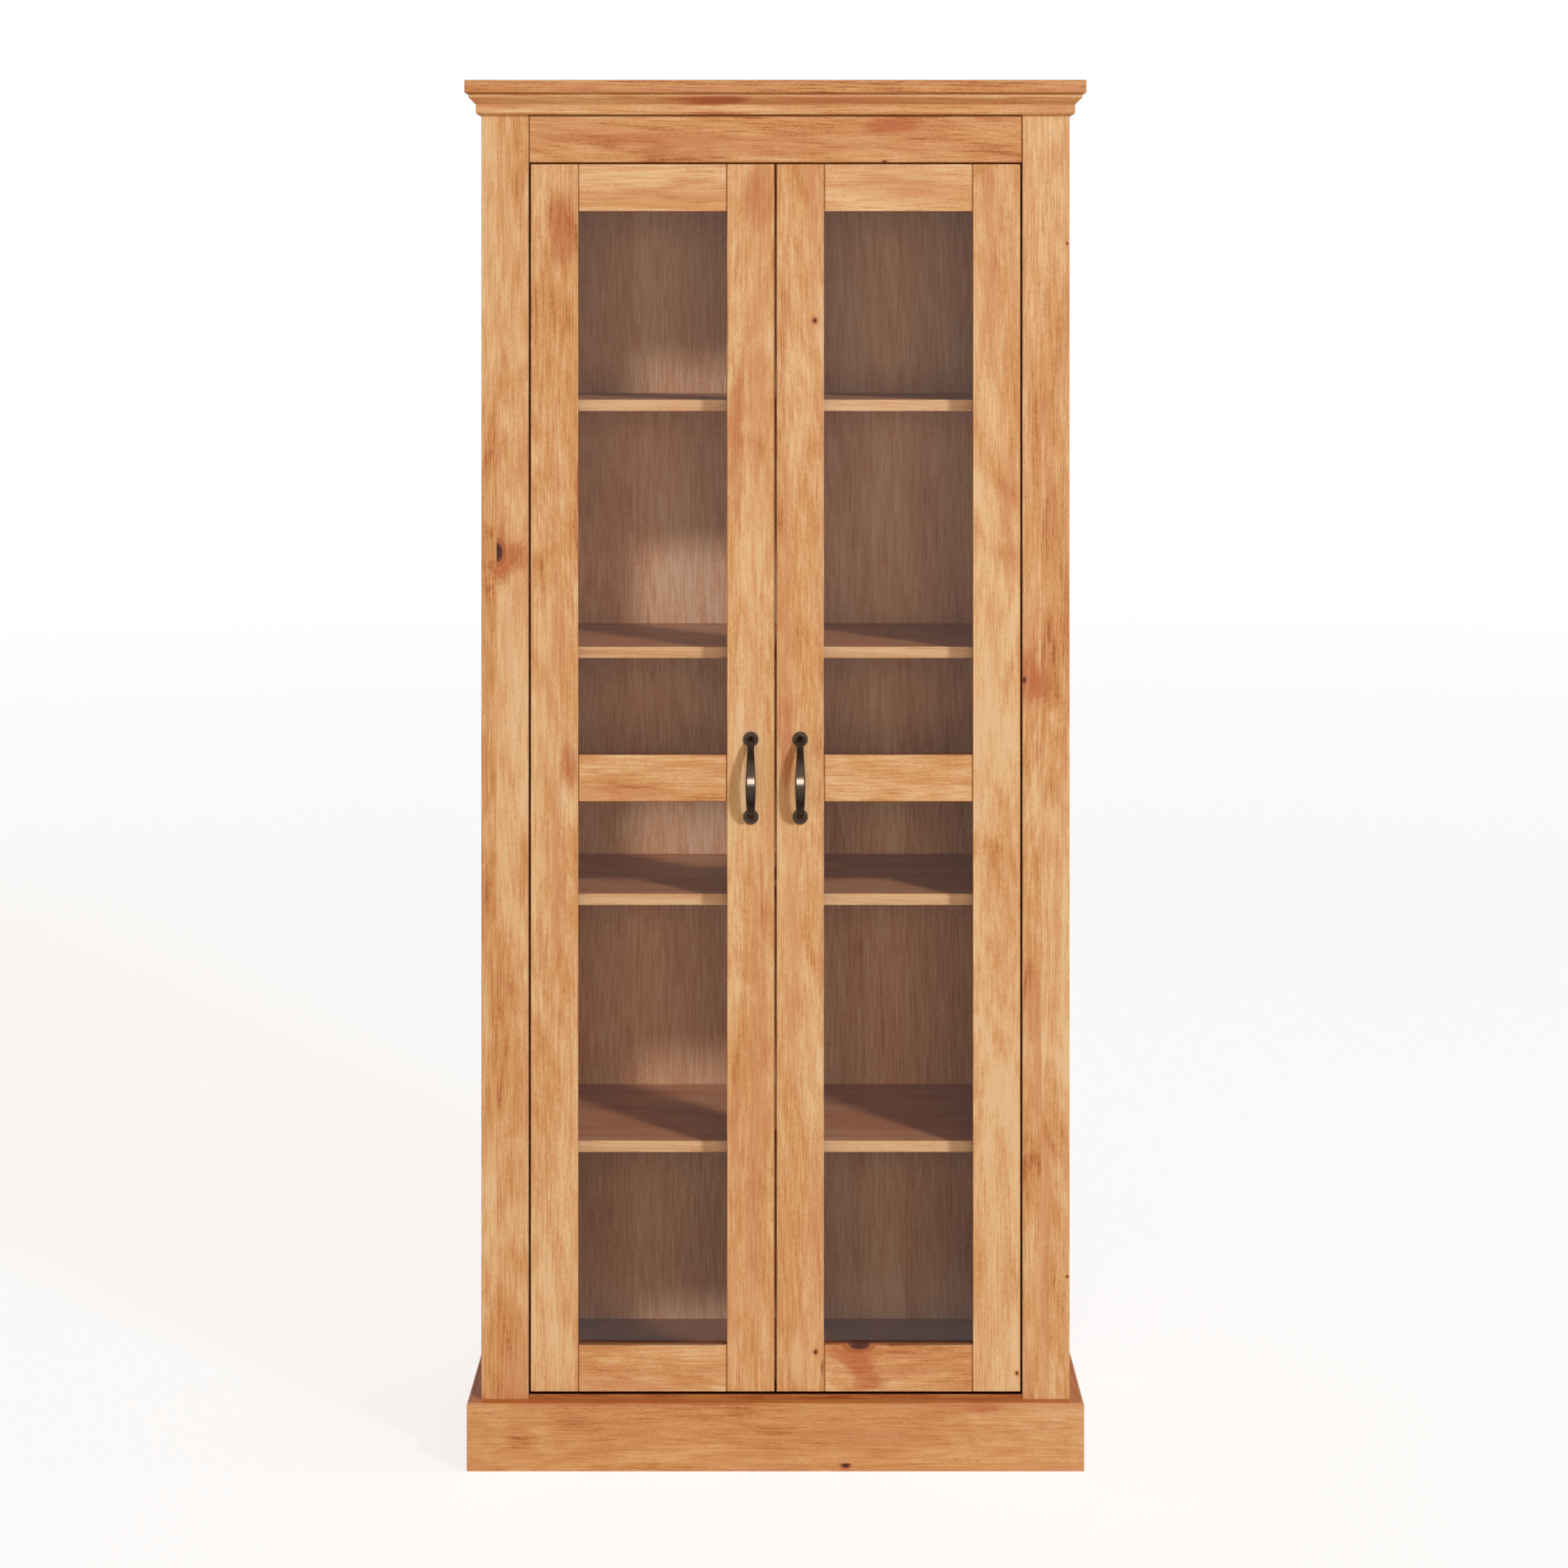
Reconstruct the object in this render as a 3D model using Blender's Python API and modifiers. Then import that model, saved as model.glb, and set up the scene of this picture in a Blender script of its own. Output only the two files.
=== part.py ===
"""Display cabinet in solid pine: two glazed doors in a face frame, stepped crown, shelves and tall plinth.

Metres, +Z up. The front faces -Y, and +X is to the right of someone who looks at the front.
The origin is on the floor, under the middle of the whole cabinet, handles included.
"""

import math

import bmesh
import bpy
from mathutils import Matrix, Vector

# Space left between pieces that touch
GAP = 0.0003

# Overall
CARCASS_WIDTH = 0.760
CARCASS_DEPTH = 0.345
CABINET_HEIGHT = 1.790
EDGE_ROUND = 0.0008

# Crown slab
SLAB_THICKNESS = 0.017
SLAB_OVERHANG = 0.020
SLAB_EDGE_ROUND = 0.0015

# Crown moulding, widths measured out from the face of the carcass
LOWER_FILLET_OUT = 0.0065
LOWER_FILLET_HEIGHT = 0.013
LOWER_FILLET_ROUND = 0.003
UPPER_FILLET_OUT = 0.0152
UPPER_FILLET_HEIGHT = 0.0053
MOULDING_EASE = 0.0005

# Face frame
FRAME_STILE_WIDTH = 0.0612
FRAME_THICKNESS = 0.022
HEADER_SHOWN = 0.0615
HEADER_RECESS = 0.001
BASE_RAIL_SHOWN = 0.006
BASE_RAIL_HEIGHT = 0.075

# Carcass boards
SIDE_THICKNESS = 0.018
BACK_THICKNESS = 0.012
BACK_REBATE = 0.009
BOTTOM_THICKNESS = 0.018
BOTTOM_TOP = 0.0822
HINGE_POST_DEPTH = 0.050

# Plinth
PLINTH_HEIGHT = 0.0873
PLINTH_THICKNESS = 0.0168
PLINTH_CHAMFER = 0.002
PLINTH_BACK_THICKNESS = 0.018

# Shelves
SHELF_COUNT = 4
LOWEST_PITCH = 0.3281
SHELF_PITCH = 0.3222
SHELF_THICKNESS = 0.015
SHELF_SETBACK = 0.040
CLEAT_HEIGHT = 0.022
CLEAT_WIDTH = 0.015
CLEAT_END_SPACE = 0.012

# Doors
DOOR_THICKNESS = 0.020
DOOR_STILE_WIDTH = 0.0612
DOOR_RAIL_HEIGHT = 0.061
DOOR_SIDE_GAP = 0.0024
DOOR_MIDDLE_GAP = 0.0026
DOOR_TOP_GAP = 0.0023
DOOR_BOTTOM_GAP = 0.0033
GLASS_THICKNESS = 0.004
GLASS_SETBACK = 0.007
GLASS_LAP = 0.008
GLASS_EDGE_SPACE = 0.0005

# Handles
HANDLE_SPACING = 0.100
HANDLE_PROJECTION = 0.028
BOW_WIDTH = 0.0132
BOW_THICKNESS = 0.005
BOW_FOOT_DIAMETER = 0.0088
BOW_STATIONS = 20
BOW_SIDES = 12
BOW_SQUARENESS = 0.4
BOW_BULGE_DROP = 0.007
ROSETTE_DIAMETER = 0.0198
ROSETTE_THICKNESS = 0.0022
ROSETTE_BEAD = 0.0016
ROSETTE_GROOVE = 0.0008

# Concealed hinges
HINGE_END_DISTANCE = 0.1034
CUP_DIAMETER = 0.035
CUP_DEPTH = 0.0115
CUP_WALL = 0.0025
CUP_EDGE_DISTANCE = 0.0045
CUP_PLATE_LENGTH = 0.054
CUP_PLATE_WIDTH = 0.016
CUP_PLATE_THICKNESS = 0.001
ARM_PLATE_LENGTH = 0.048
ARM_PLATE_DEPTH = 0.032
ARM_PLATE_THICKNESS = 0.003
ARM_WIDTH = 0.014
ARM_HEIGHT = 0.010
ARM_NOSE = 0.006
ARM_BACK_SPACE = 0.006
ARM_CRANK_LENGTH = 0.010

# How finely round shapes and edges are drawn, and how far a cutter passes through what it cuts
ROUND_SIDES = 24
EDGE_SEGMENTS = 2
SHARP_ANGLE = math.radians(40)
WELD_DISTANCE = 0.00001
CUT_MARGIN = 0.010

# Places that follow from the sizes
FRONT_REACH = max(HANDLE_PROJECTION, SLAB_OVERHANG, PLINTH_THICKNESS + GAP)
FACE_Y = (FRONT_REACH - CARCASS_DEPTH) / 2
HALF_WIDTH = CARCASS_WIDTH / 2
SIDE_INNER = HALF_WIDTH - SIDE_THICKNESS
STILE_INNER = HALF_WIDTH - FRAME_STILE_WIDTH
BEHIND_FRAME = FRAME_THICKNESS + GAP
BEHIND_POST = BEHIND_FRAME + HINGE_POST_DEPTH + GAP
BACK_FACE = CARCASS_DEPTH - BACK_THICKNESS
CROWN_TOP = CABINET_HEIGHT - SLAB_THICKNESS
CROWN_SLOPE = UPPER_FILLET_OUT - LOWER_FILLET_OUT
CROWN_BOTTOM = CROWN_TOP - UPPER_FILLET_HEIGHT - CROWN_SLOPE - LOWER_FILLET_HEIGHT
HEADER_BOTTOM = CROWN_BOTTOM - HEADER_SHOWN
BASE_RAIL_TOP = PLINTH_HEIGHT + BASE_RAIL_SHOWN
BOTTOM_UNDERSIDE = BOTTOM_TOP - BOTTOM_THICKNESS
DOOR_BOTTOM = BASE_RAIL_TOP + DOOR_BOTTOM_GAP
DOOR_TOP = HEADER_BOTTOM - DOOR_TOP_GAP
DOOR_CENTRE = (DOOR_BOTTOM + DOOR_TOP) / 2
DOOR_OUTER = STILE_INNER - DOOR_SIDE_GAP
DOOR_INNER = DOOR_MIDDLE_GAP / 2
PIVOT_X = DOOR_OUTER + DOOR_SIDE_GAP / 2
GLASS_OUTER = DOOR_OUTER - DOOR_STILE_WIDTH
GLASS_INNER = DOOR_INNER + DOOR_STILE_WIDTH
MIDDLE_RAIL_BOTTOM = DOOR_CENTRE - DOOR_RAIL_HEIGHT / 2
MIDDLE_RAIL_TOP = DOOR_CENTRE + DOOR_RAIL_HEIGHT / 2
CUP_X = DOOR_OUTER - CUP_EDGE_DISTANCE - CUP_DIAMETER / 2
CUP_BACK = DOOR_THICKNESS + GAP + CUP_PLATE_THICKNESS
SIDES = {"left": -1, "right": 1}

# Looks: colour, roughness, metallic, alpha
PINE = ((0.665, 0.342, 0.127, 1.0), 0.45, 0.0)
PINE_INSIDE = ((0.560, 0.290, 0.120, 1.0), 0.55, 0.0)
GLASS = ((0.550, 0.450, 0.420, 0.3), 0.05, 0.0)
BRONZE = ((0.032, 0.023, 0.019, 1.0), 0.35, 0.9)
STEEL = ((0.560, 0.560, 0.560, 1.0), 0.30, 1.0)


def remove_objects():
    for obj in list(bpy.data.objects):
        bpy.data.objects.remove(obj, do_unlink=True)


def new_collection(name):
    collection = bpy.data.collections.new(name)
    bpy.context.scene.collection.children.link(collection)
    return collection


def own_material(obj, look):
    colour, roughness, metallic = look
    material = bpy.data.materials.new(obj.name)
    material.use_nodes = True
    shader = material.node_tree.nodes["Principled BSDF"]
    shader.inputs["Base Color"].default_value = colour
    shader.inputs["Alpha"].default_value = colour[3]
    shader.inputs["Roughness"].default_value = roughness
    shader.inputs["Metallic"].default_value = metallic
    obj.data.materials.clear()
    obj.data.materials.append(material)


def behind_face(depth):
    """The y of a plane this far behind the front of the face frame."""
    return FACE_Y + depth


def across(side, near, far):
    """The x range between two distances from the middle, on the left (-1) or the right (+1)."""
    return (near, far) if side > 0 else (-far, -near)


def place(obj, where, carrier):
    """Puts an object at a point of the cabinet, under the empty that carries it if there is one."""
    origin = carrier.location if carrier else Vector((0, 0, 0))
    obj.parent = carrier
    obj.location = Vector(where) - origin


def add_part(name, mesh, where, look, carrier=None):
    obj = bpy.data.objects.new(name, mesh)
    PARTS.objects.link(obj)
    place(obj, where, carrier)
    own_material(obj, look)
    return obj


def add_cutter(name, mesh, where, carrier=None):
    obj = bpy.data.objects.new(name, mesh)
    CUTTERS.objects.link(obj)
    place(obj, where, carrier)
    obj.hide_render = True
    obj.display_type = "WIRE"
    return obj


def block_mesh(name, size):
    shape = bmesh.new()
    bmesh.ops.create_cube(shape, size=1.0)
    bmesh.ops.scale(shape, vec=size, verts=shape.verts)
    mesh = bpy.data.meshes.new(name)
    shape.to_mesh(mesh)
    shape.free()
    return mesh


def drum_mesh(name, radius, length):
    """A cylinder whose axis runs along Y."""
    shape = bmesh.new()
    bmesh.ops.create_cone(
        shape, cap_ends=True, segments=ROUND_SIDES, radius1=radius, radius2=radius, depth=length
    )
    bmesh.ops.rotate(shape, matrix=Matrix.Rotation(math.pi / 2, 3, "X"), verts=shape.verts)
    mesh = bpy.data.meshes.new(name)
    shape.to_mesh(mesh)
    shape.free()
    mesh.shade_smooth()
    mesh.set_sharp_from_angle(angle=SHARP_ANGLE)
    return mesh


def round_edges(obj, width):
    bevel = obj.modifiers.new("rounded edges", "BEVEL")
    bevel.width = width
    bevel.segments = EDGE_SEGMENTS
    bevel.limit_method = "ANGLE"
    bevel.angle_limit = SHARP_ANGLE


def combine(obj, other, operation):
    step = obj.modifiers.new(other.name, "BOOLEAN")
    step.operation = operation
    step.solver = "EXACT"
    step.object = other


def box_place(x_range, depth_range, z_range):
    """The centre and the size of a box given by its x range, its depths behind the face and its heights."""
    low = Vector((x_range[0], behind_face(depth_range[0]), z_range[0]))
    high = Vector((x_range[1], behind_face(depth_range[1]), z_range[1]))
    return (low + high) / 2, high - low


def board(name, x_range, depth_range, z_range, look=PINE, carrier=None, edge=EDGE_ROUND):
    centre, size = box_place(x_range, depth_range, z_range)
    obj = add_part(name, block_mesh(name, size), centre, look, carrier)
    round_edges(obj, edge)
    return obj


def box_cutter(name, x_range, depth_range, z_range, carrier=None):
    centre, size = box_place(x_range, depth_range, z_range)
    return add_cutter(name, block_mesh(name, size), centre, carrier)


def extruded_mesh(name, outline, length):
    """A flat outline in the local XY plane, given thickness along Z and made a welded mesh."""
    curve = bpy.data.curves.new(name, "CURVE")
    curve.dimensions = "2D"
    curve.fill_mode = "BOTH"
    curve.extrude = length / 2
    line = curve.splines.new("POLY")
    line.points.add(len(outline) - 1)
    for point, (x, y) in zip(line.points, outline):
        point.co = (x, y, 0, 1)
    line.use_cyclic_u = True
    drawn = bpy.data.objects.new(name, curve)
    CUTTERS.objects.link(drawn)
    bpy.context.view_layer.update()
    evaluated = drawn.evaluated_get(bpy.context.evaluated_depsgraph_get())
    mesh = bpy.data.meshes.new_from_object(evaluated)
    bpy.data.objects.remove(drawn, do_unlink=True)
    bpy.data.curves.remove(curve)
    shape = bmesh.new()
    shape.from_mesh(mesh)
    bmesh.ops.remove_doubles(shape, verts=shape.verts, dist=WELD_DISTANCE)
    bmesh.ops.recalc_face_normals(shape, faces=shape.faces)
    shape.to_mesh(mesh)
    shape.free()
    return mesh


def eased(before, corner, after):
    """The two points that take the place of a sharp corner of a moulding."""
    corner = Vector(corner)
    return [corner + (Vector(end) - corner).normalized() * MOULDING_EASE for end in (before, after)]


def moulding(name, outline, side, overhang):
    """One length of a moulding that wraps the carcass: side is -1 or +1 for a return, and 0 for the front."""
    if side:
        length = CARCASS_DEPTH + overhang
        middle = Vector((side * HALF_WIDTH, behind_face((CARCASS_DEPTH - overhang) / 2), 0))
        outward = Vector((side, 0, 0))
    else:
        length = CARCASS_WIDTH + 2 * overhang
        middle = Vector((0, FACE_Y, 0))
        outward = Vector((0, -1, 0))
    up = Vector((0, 0, 1))
    axes = Matrix((outward, up, outward.cross(up))).transposed()
    mesh = extruded_mesh(name, outline, length)
    mesh.transform(axes.to_4x4())
    obj = add_part(name, mesh, middle, PINE)
    for end in (side,) if side else (-1, 1):
        combine(obj, mitre_cutter(name, side, end, overhang), "DIFFERENCE")
    return obj


def mitre_cutter(name, side, end, overhang):
    """A block that cuts a moulding off half a gap short of the mitre of one front corner."""
    away = Vector((-end, -1, 0)) if side else Vector((end, 1, 0))
    away.normalize()
    size = 8 * (overhang + CUT_MARGIN)
    corner = Vector((end * HALF_WIDTH, FACE_Y, CABINET_HEIGHT / 2))
    mesh = block_mesh(f"{name}_mitre", Vector((size, size, 2 * CABINET_HEIGHT)))
    mesh.transform(Matrix.Rotation(math.pi / 4, 4, "Z"))
    label = "front" if not side else "return"
    return add_cutter(f"{name}_{label}_mitre_{end}", mesh, corner + away * (size - GAP) / 2)


def crown_outline():
    """The stepped section: a lower fillet rounded underneath, a slope and an upper fillet."""
    round_centre = (LOWER_FILLET_OUT - LOWER_FILLET_ROUND, CROWN_BOTTOM + LOWER_FILLET_ROUND)
    rounding = []
    for degrees in (-90, -45, 0):
        angle = math.radians(degrees)
        rounding.append(
            (
                round_centre[0] + LOWER_FILLET_ROUND * math.cos(angle),
                round_centre[1] + LOWER_FILLET_ROUND * math.sin(angle),
            )
        )
    fillet_top = CROWN_BOTTOM + LOWER_FILLET_HEIGHT
    back_top = (GAP, CROWN_TOP - GAP)
    corners = [
        rounding[-1],
        (LOWER_FILLET_OUT, fillet_top),
        (UPPER_FILLET_OUT, fillet_top + CROWN_SLOPE),
        (UPPER_FILLET_OUT, CROWN_TOP - GAP),
        back_top,
    ]
    steps = []
    for before, corner, after in zip(corners, corners[1:], corners[2:]):
        steps += eased(before, corner, after)
    return rounding + steps + [back_top, (GAP, CROWN_BOTTOM)]


def plinth_outline():
    return [
        (GAP, 0),
        (GAP + PLINTH_THICKNESS, 0),
        (GAP + PLINTH_THICKNESS, PLINTH_HEIGHT - PLINTH_CHAMFER),
        (GAP + PLINTH_THICKNESS - PLINTH_CHAMFER, PLINTH_HEIGHT),
        (GAP, PLINTH_HEIGHT),
    ]


def make_crown():
    edge = HALF_WIDTH + SLAB_OVERHANG
    board(
        "crown_slab",
        (-edge, edge),
        (-SLAB_OVERHANG, CARCASS_DEPTH),
        (CROWN_TOP, CABINET_HEIGHT),
        edge=SLAB_EDGE_ROUND,
    )
    moulding("crown_front", crown_outline(), 0, UPPER_FILLET_OUT)
    for label, side in SIDES.items():
        moulding(f"crown_{label}", crown_outline(), side, UPPER_FILLET_OUT)


def make_face_frame():
    for label, side in SIDES.items():
        board(
            f"stile_{label}",
            across(side, STILE_INNER, HALF_WIDTH),
            (0, FRAME_THICKNESS),
            (0, CROWN_TOP - GAP),
        )
    between = (-STILE_INNER + GAP, STILE_INNER - GAP)
    board("header_rail", between, (HEADER_RECESS, FRAME_THICKNESS), (HEADER_BOTTOM, CROWN_TOP - GAP))
    board("base_rail", between, (0, FRAME_THICKNESS), (BASE_RAIL_TOP - BASE_RAIL_HEIGHT, BASE_RAIL_TOP))


def make_carcass():
    rebate_inner = SIDE_INNER + BACK_REBATE
    for label, side in SIDES.items():
        panel = board(
            f"side_panel_{label}",
            across(side, SIDE_INNER, HALF_WIDTH),
            (BEHIND_FRAME, CARCASS_DEPTH),
            (0, CROWN_TOP - GAP),
        )
        rebate = box_cutter(
            f"side_panel_{label}_rebate",
            across(side, SIDE_INNER - CUT_MARGIN, rebate_inner),
            (BACK_FACE - GAP, CARCASS_DEPTH + CUT_MARGIN),
            (-CUT_MARGIN, CABINET_HEIGHT + CUT_MARGIN),
        )
        combine(panel, rebate, "DIFFERENCE")
        board(
            f"hinge_post_{label}",
            across(side, STILE_INNER, SIDE_INNER - GAP),
            (BEHIND_FRAME, BEHIND_FRAME + HINGE_POST_DEPTH),
            (BOTTOM_TOP + GAP, CROWN_TOP - GAP),
            PINE_INSIDE,
        )
    between = (-SIDE_INNER + GAP, SIDE_INNER - GAP)
    board(
        "bottom_board",
        between,
        (BEHIND_FRAME, BACK_FACE - GAP),
        (BOTTOM_UNDERSIDE, BOTTOM_TOP),
        PINE_INSIDE,
    )
    board(
        "back_panel",
        (-rebate_inner + GAP, rebate_inner - GAP),
        (BACK_FACE, CARCASS_DEPTH),
        (BOTTOM_UNDERSIDE, CROWN_TOP - GAP),
        PINE_INSIDE,
    )


def make_plinth():
    overhang = GAP + PLINTH_THICKNESS
    moulding("plinth_front", plinth_outline(), 0, overhang)
    for label, side in SIDES.items():
        moulding(f"plinth_{label}", plinth_outline(), side, overhang)
    board(
        "plinth_back",
        (-SIDE_INNER + GAP, SIDE_INNER - GAP),
        (BACK_FACE - GAP - PLINTH_BACK_THICKNESS, BACK_FACE - GAP),
        (0, BOTTOM_UNDERSIDE - GAP),
        PINE_INSIDE,
    )


def make_shelves():
    for number in range(1, SHELF_COUNT + 1):
        # The first shelf is the uppermost
        top = BOTTOM_TOP + LOWEST_PITCH + SHELF_PITCH * (SHELF_COUNT - number)
        shelf = board(
            f"shelf_{number}",
            (-SIDE_INNER + GAP, SIDE_INNER - GAP),
            (SHELF_SETBACK, BACK_FACE - GAP),
            (top - SHELF_THICKNESS, top),
            PINE_INSIDE,
        )
        cleat_top = top - SHELF_THICKNESS - GAP
        for label, side in SIDES.items():
            # The front corners are notched round the hinge posts
            notch = box_cutter(
                f"shelf_{number}_{label}_notch",
                across(side, STILE_INNER - GAP, SIDE_INNER + CUT_MARGIN),
                (SHELF_SETBACK - CUT_MARGIN, BEHIND_POST),
                (top - SHELF_THICKNESS - CUT_MARGIN, top + CUT_MARGIN),
            )
            combine(shelf, notch, "DIFFERENCE")
            board(
                f"cleat_{number}_{label}",
                across(side, SIDE_INNER - GAP - CLEAT_WIDTH, SIDE_INNER - GAP),
                (BEHIND_POST + CLEAT_END_SPACE, BACK_FACE - CLEAT_END_SPACE),
                (cleat_top - CLEAT_HEIGHT, cleat_top),
                PINE_INSIDE,
            )


def pane_heights():
    """The heights of the upper and the lower light, between the rails of a door."""
    return {
        "upper": (MIDDLE_RAIL_TOP, DOOR_TOP - DOOR_RAIL_HEIGHT),
        "lower": (DOOR_BOTTOM + DOOR_RAIL_HEIGHT, MIDDLE_RAIL_BOTTOM),
    }


def make_panes(label, side, pivot):
    """The panes of one door, and the pockets that the back of the door frame has for them."""
    pockets = {}
    for pane, (bottom, top) in pane_heights().items():
        pockets[pane] = box_cutter(
            f"door_{label}_{pane}_pocket",
            across(side, GLASS_INNER - GLASS_LAP, GLASS_OUTER + GLASS_LAP),
            (GLASS_SETBACK - GAP, DOOR_THICKNESS + CUT_MARGIN),
            (bottom - GLASS_LAP, top + GLASS_LAP),
            pivot,
        )
        lap = GLASS_LAP - GLASS_EDGE_SPACE
        board(
            f"door_{label}_glass_{pane}",
            across(side, GLASS_INNER - lap, GLASS_OUTER + lap),
            (GLASS_SETBACK, GLASS_SETBACK + GLASS_THICKNESS),
            (bottom - lap, top + lap),
            GLASS,
            pivot,
            edge=GAP,
        )
    return pockets


def make_door(label, side):
    pivot = bpy.data.objects.new(f"door_{label}_pivot", None)
    PARTS.objects.link(pivot)
    pivot.location = (side * PIVOT_X, FACE_Y, 0)
    depth = (0, DOOR_THICKNESS)
    pockets = make_panes(label, side, pivot)
    stiles = {
        "hinge_stile": across(side, GLASS_OUTER, DOOR_OUTER),
        "meeting_stile": across(side, DOOR_INNER, GLASS_INNER),
    }
    for name, x_range in stiles.items():
        stile = board(f"door_{label}_{name}", x_range, depth, (DOOR_BOTTOM, DOOR_TOP), carrier=pivot)
        for pocket in pockets.values():
            combine(stile, pocket, "DIFFERENCE")
        if name == "hinge_stile":
            make_hinges(label, side, pivot, stile)
    rails = {
        "top_rail": ((DOOR_TOP - DOOR_RAIL_HEIGHT, DOOR_TOP), ("upper",)),
        "middle_rail": ((MIDDLE_RAIL_BOTTOM, MIDDLE_RAIL_TOP), ("upper", "lower")),
        "bottom_rail": ((DOOR_BOTTOM, DOOR_BOTTOM + DOOR_RAIL_HEIGHT), ("lower",)),
    }
    between = across(side, GLASS_INNER + GAP, GLASS_OUTER - GAP)
    for name, (z_range, beside) in rails.items():
        rail = board(f"door_{label}_{name}", between, depth, z_range, carrier=pivot)
        for pane in beside:
            combine(rail, pockets[pane], "DIFFERENCE")
    make_handle(label, side, pivot)


def bow_mesh(name):
    """The bow: a strap on half an ellipse, widest a little below its middle and round at its feet."""
    reach = HANDLE_PROJECTION - BOW_THICKNESS / 2
    root = ROSETTE_THICKNESS / 2
    shape = bmesh.new()
    rings = []
    for station in range(BOW_STATIONS + 1):
        turn = math.pi * station / BOW_STATIONS
        lift = math.sin(turn)
        centre = Vector((0, -root - (reach - root) * lift, HANDLE_SPACING / 2 * math.cos(turn)))
        along = Vector((0, -(reach - root) * math.cos(turn), -HANDLE_SPACING / 2 * lift)).normalized()
        outward = Vector((1, 0, 0)).cross(along)
        from_bulge = (centre.z + BOW_BULGE_DROP) / (HANDLE_SPACING / 2)
        swell = max(0, 1 - from_bulge**2) ** 2
        half_width = (BOW_FOOT_DIAMETER + (BOW_WIDTH - BOW_FOOT_DIAMETER) * swell) / 2
        half_thickness = (BOW_FOOT_DIAMETER + (BOW_THICKNESS - BOW_FOOT_DIAMETER) * lift) / 2
        squareness = 1 - BOW_SQUARENESS * lift
        ring = []
        for side in range(BOW_SIDES):
            angle = 2 * math.pi * side / BOW_SIDES
            wide = math.copysign(abs(math.cos(angle)) ** squareness, math.cos(angle))
            thick = math.copysign(abs(math.sin(angle)) ** squareness, math.sin(angle))
            offset = Vector((half_width * wide, 0, 0)) + outward * half_thickness * thick
            ring.append(shape.verts.new(centre + offset))
        rings.append(ring)
    for first, second in zip(rings, rings[1:]):
        for index in range(BOW_SIDES):
            after = (index + 1) % BOW_SIDES
            shape.faces.new((first[index], first[after], second[after], second[index]))
    shape.faces.new(reversed(rings[0]))
    shape.faces.new(rings[-1])
    bmesh.ops.recalc_face_normals(shape, faces=shape.faces)
    mesh = bpy.data.meshes.new(name)
    shape.to_mesh(mesh)
    shape.free()
    mesh.shade_smooth()
    return mesh


def rosette_profile():
    """Half the section of a foot, from its axis out and down: raised middle, groove and rim bead."""
    radius = ROSETTE_DIAMETER / 2
    middle = BOW_FOOT_DIAMETER / 2 + ROSETTE_GROOVE
    floor = ROSETTE_THICKNESS - ROSETTE_GROOVE
    inner_bead = middle + ROSETTE_GROOVE
    return [
        (0, ROSETTE_THICKNESS),
        (middle, ROSETTE_THICKNESS),
        (inner_bead, floor),
        (radius - ROSETTE_BEAD - ROSETTE_GROOVE, floor),
        (radius - ROSETTE_BEAD, ROSETTE_THICKNESS),
        (radius - ROSETTE_GROOVE, ROSETTE_THICKNESS),
        (radius, floor),
        (radius, 0),
        (0, 0),
    ]


def add_rosette(name, where, carrier):
    mesh = bpy.data.meshes.new(name)
    points = [(x, 0, z) for x, z in rosette_profile()]
    edges = [(index, index + 1) for index in range(len(points) - 1)]
    mesh.from_pydata(points, edges, [])
    obj = add_cutter(name, mesh, where, carrier)
    obj.rotation_euler = (math.pi / 2, 0, 0)
    turned = obj.modifiers.new("turned", "SCREW")
    turned.axis = "Z"
    turned.angle = 2 * math.pi
    turned.steps = ROUND_SIDES
    turned.render_steps = ROUND_SIDES
    turned.use_merge_vertices = True
    turned.merge_threshold = WELD_DISTANCE
    return obj


def make_handle(label, side, pivot):
    x = side * (DOOR_INNER + DOOR_STILE_WIDTH / 2)
    name = f"door_{label}_handle"
    where = Vector((x, FACE_Y, DOOR_CENTRE))
    handle = add_part(name, bow_mesh(name), where, BRONZE, pivot)
    for foot, way in {"upper": 1, "lower": -1}.items():
        seat = where + Vector((0, -GAP, way * HANDLE_SPACING / 2))
        combine(handle, add_rosette(f"{name}_{foot}_foot", seat, pivot), "UNION")


def hinge_heights():
    return {
        "top": DOOR_TOP - HINGE_END_DISTANCE,
        "middle": DOOR_CENTRE,
        "bottom": DOOR_BOTTOM + HINGE_END_DISTANCE,
    }


def make_hinges(label, side, pivot, stile):
    for level, height in hinge_heights().items():
        make_cup(f"door_{label}_hinge_cup_{level}", side, height, pivot, stile)
        make_arm(f"hinge_arm_{label}_{level}", side, height)


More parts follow.
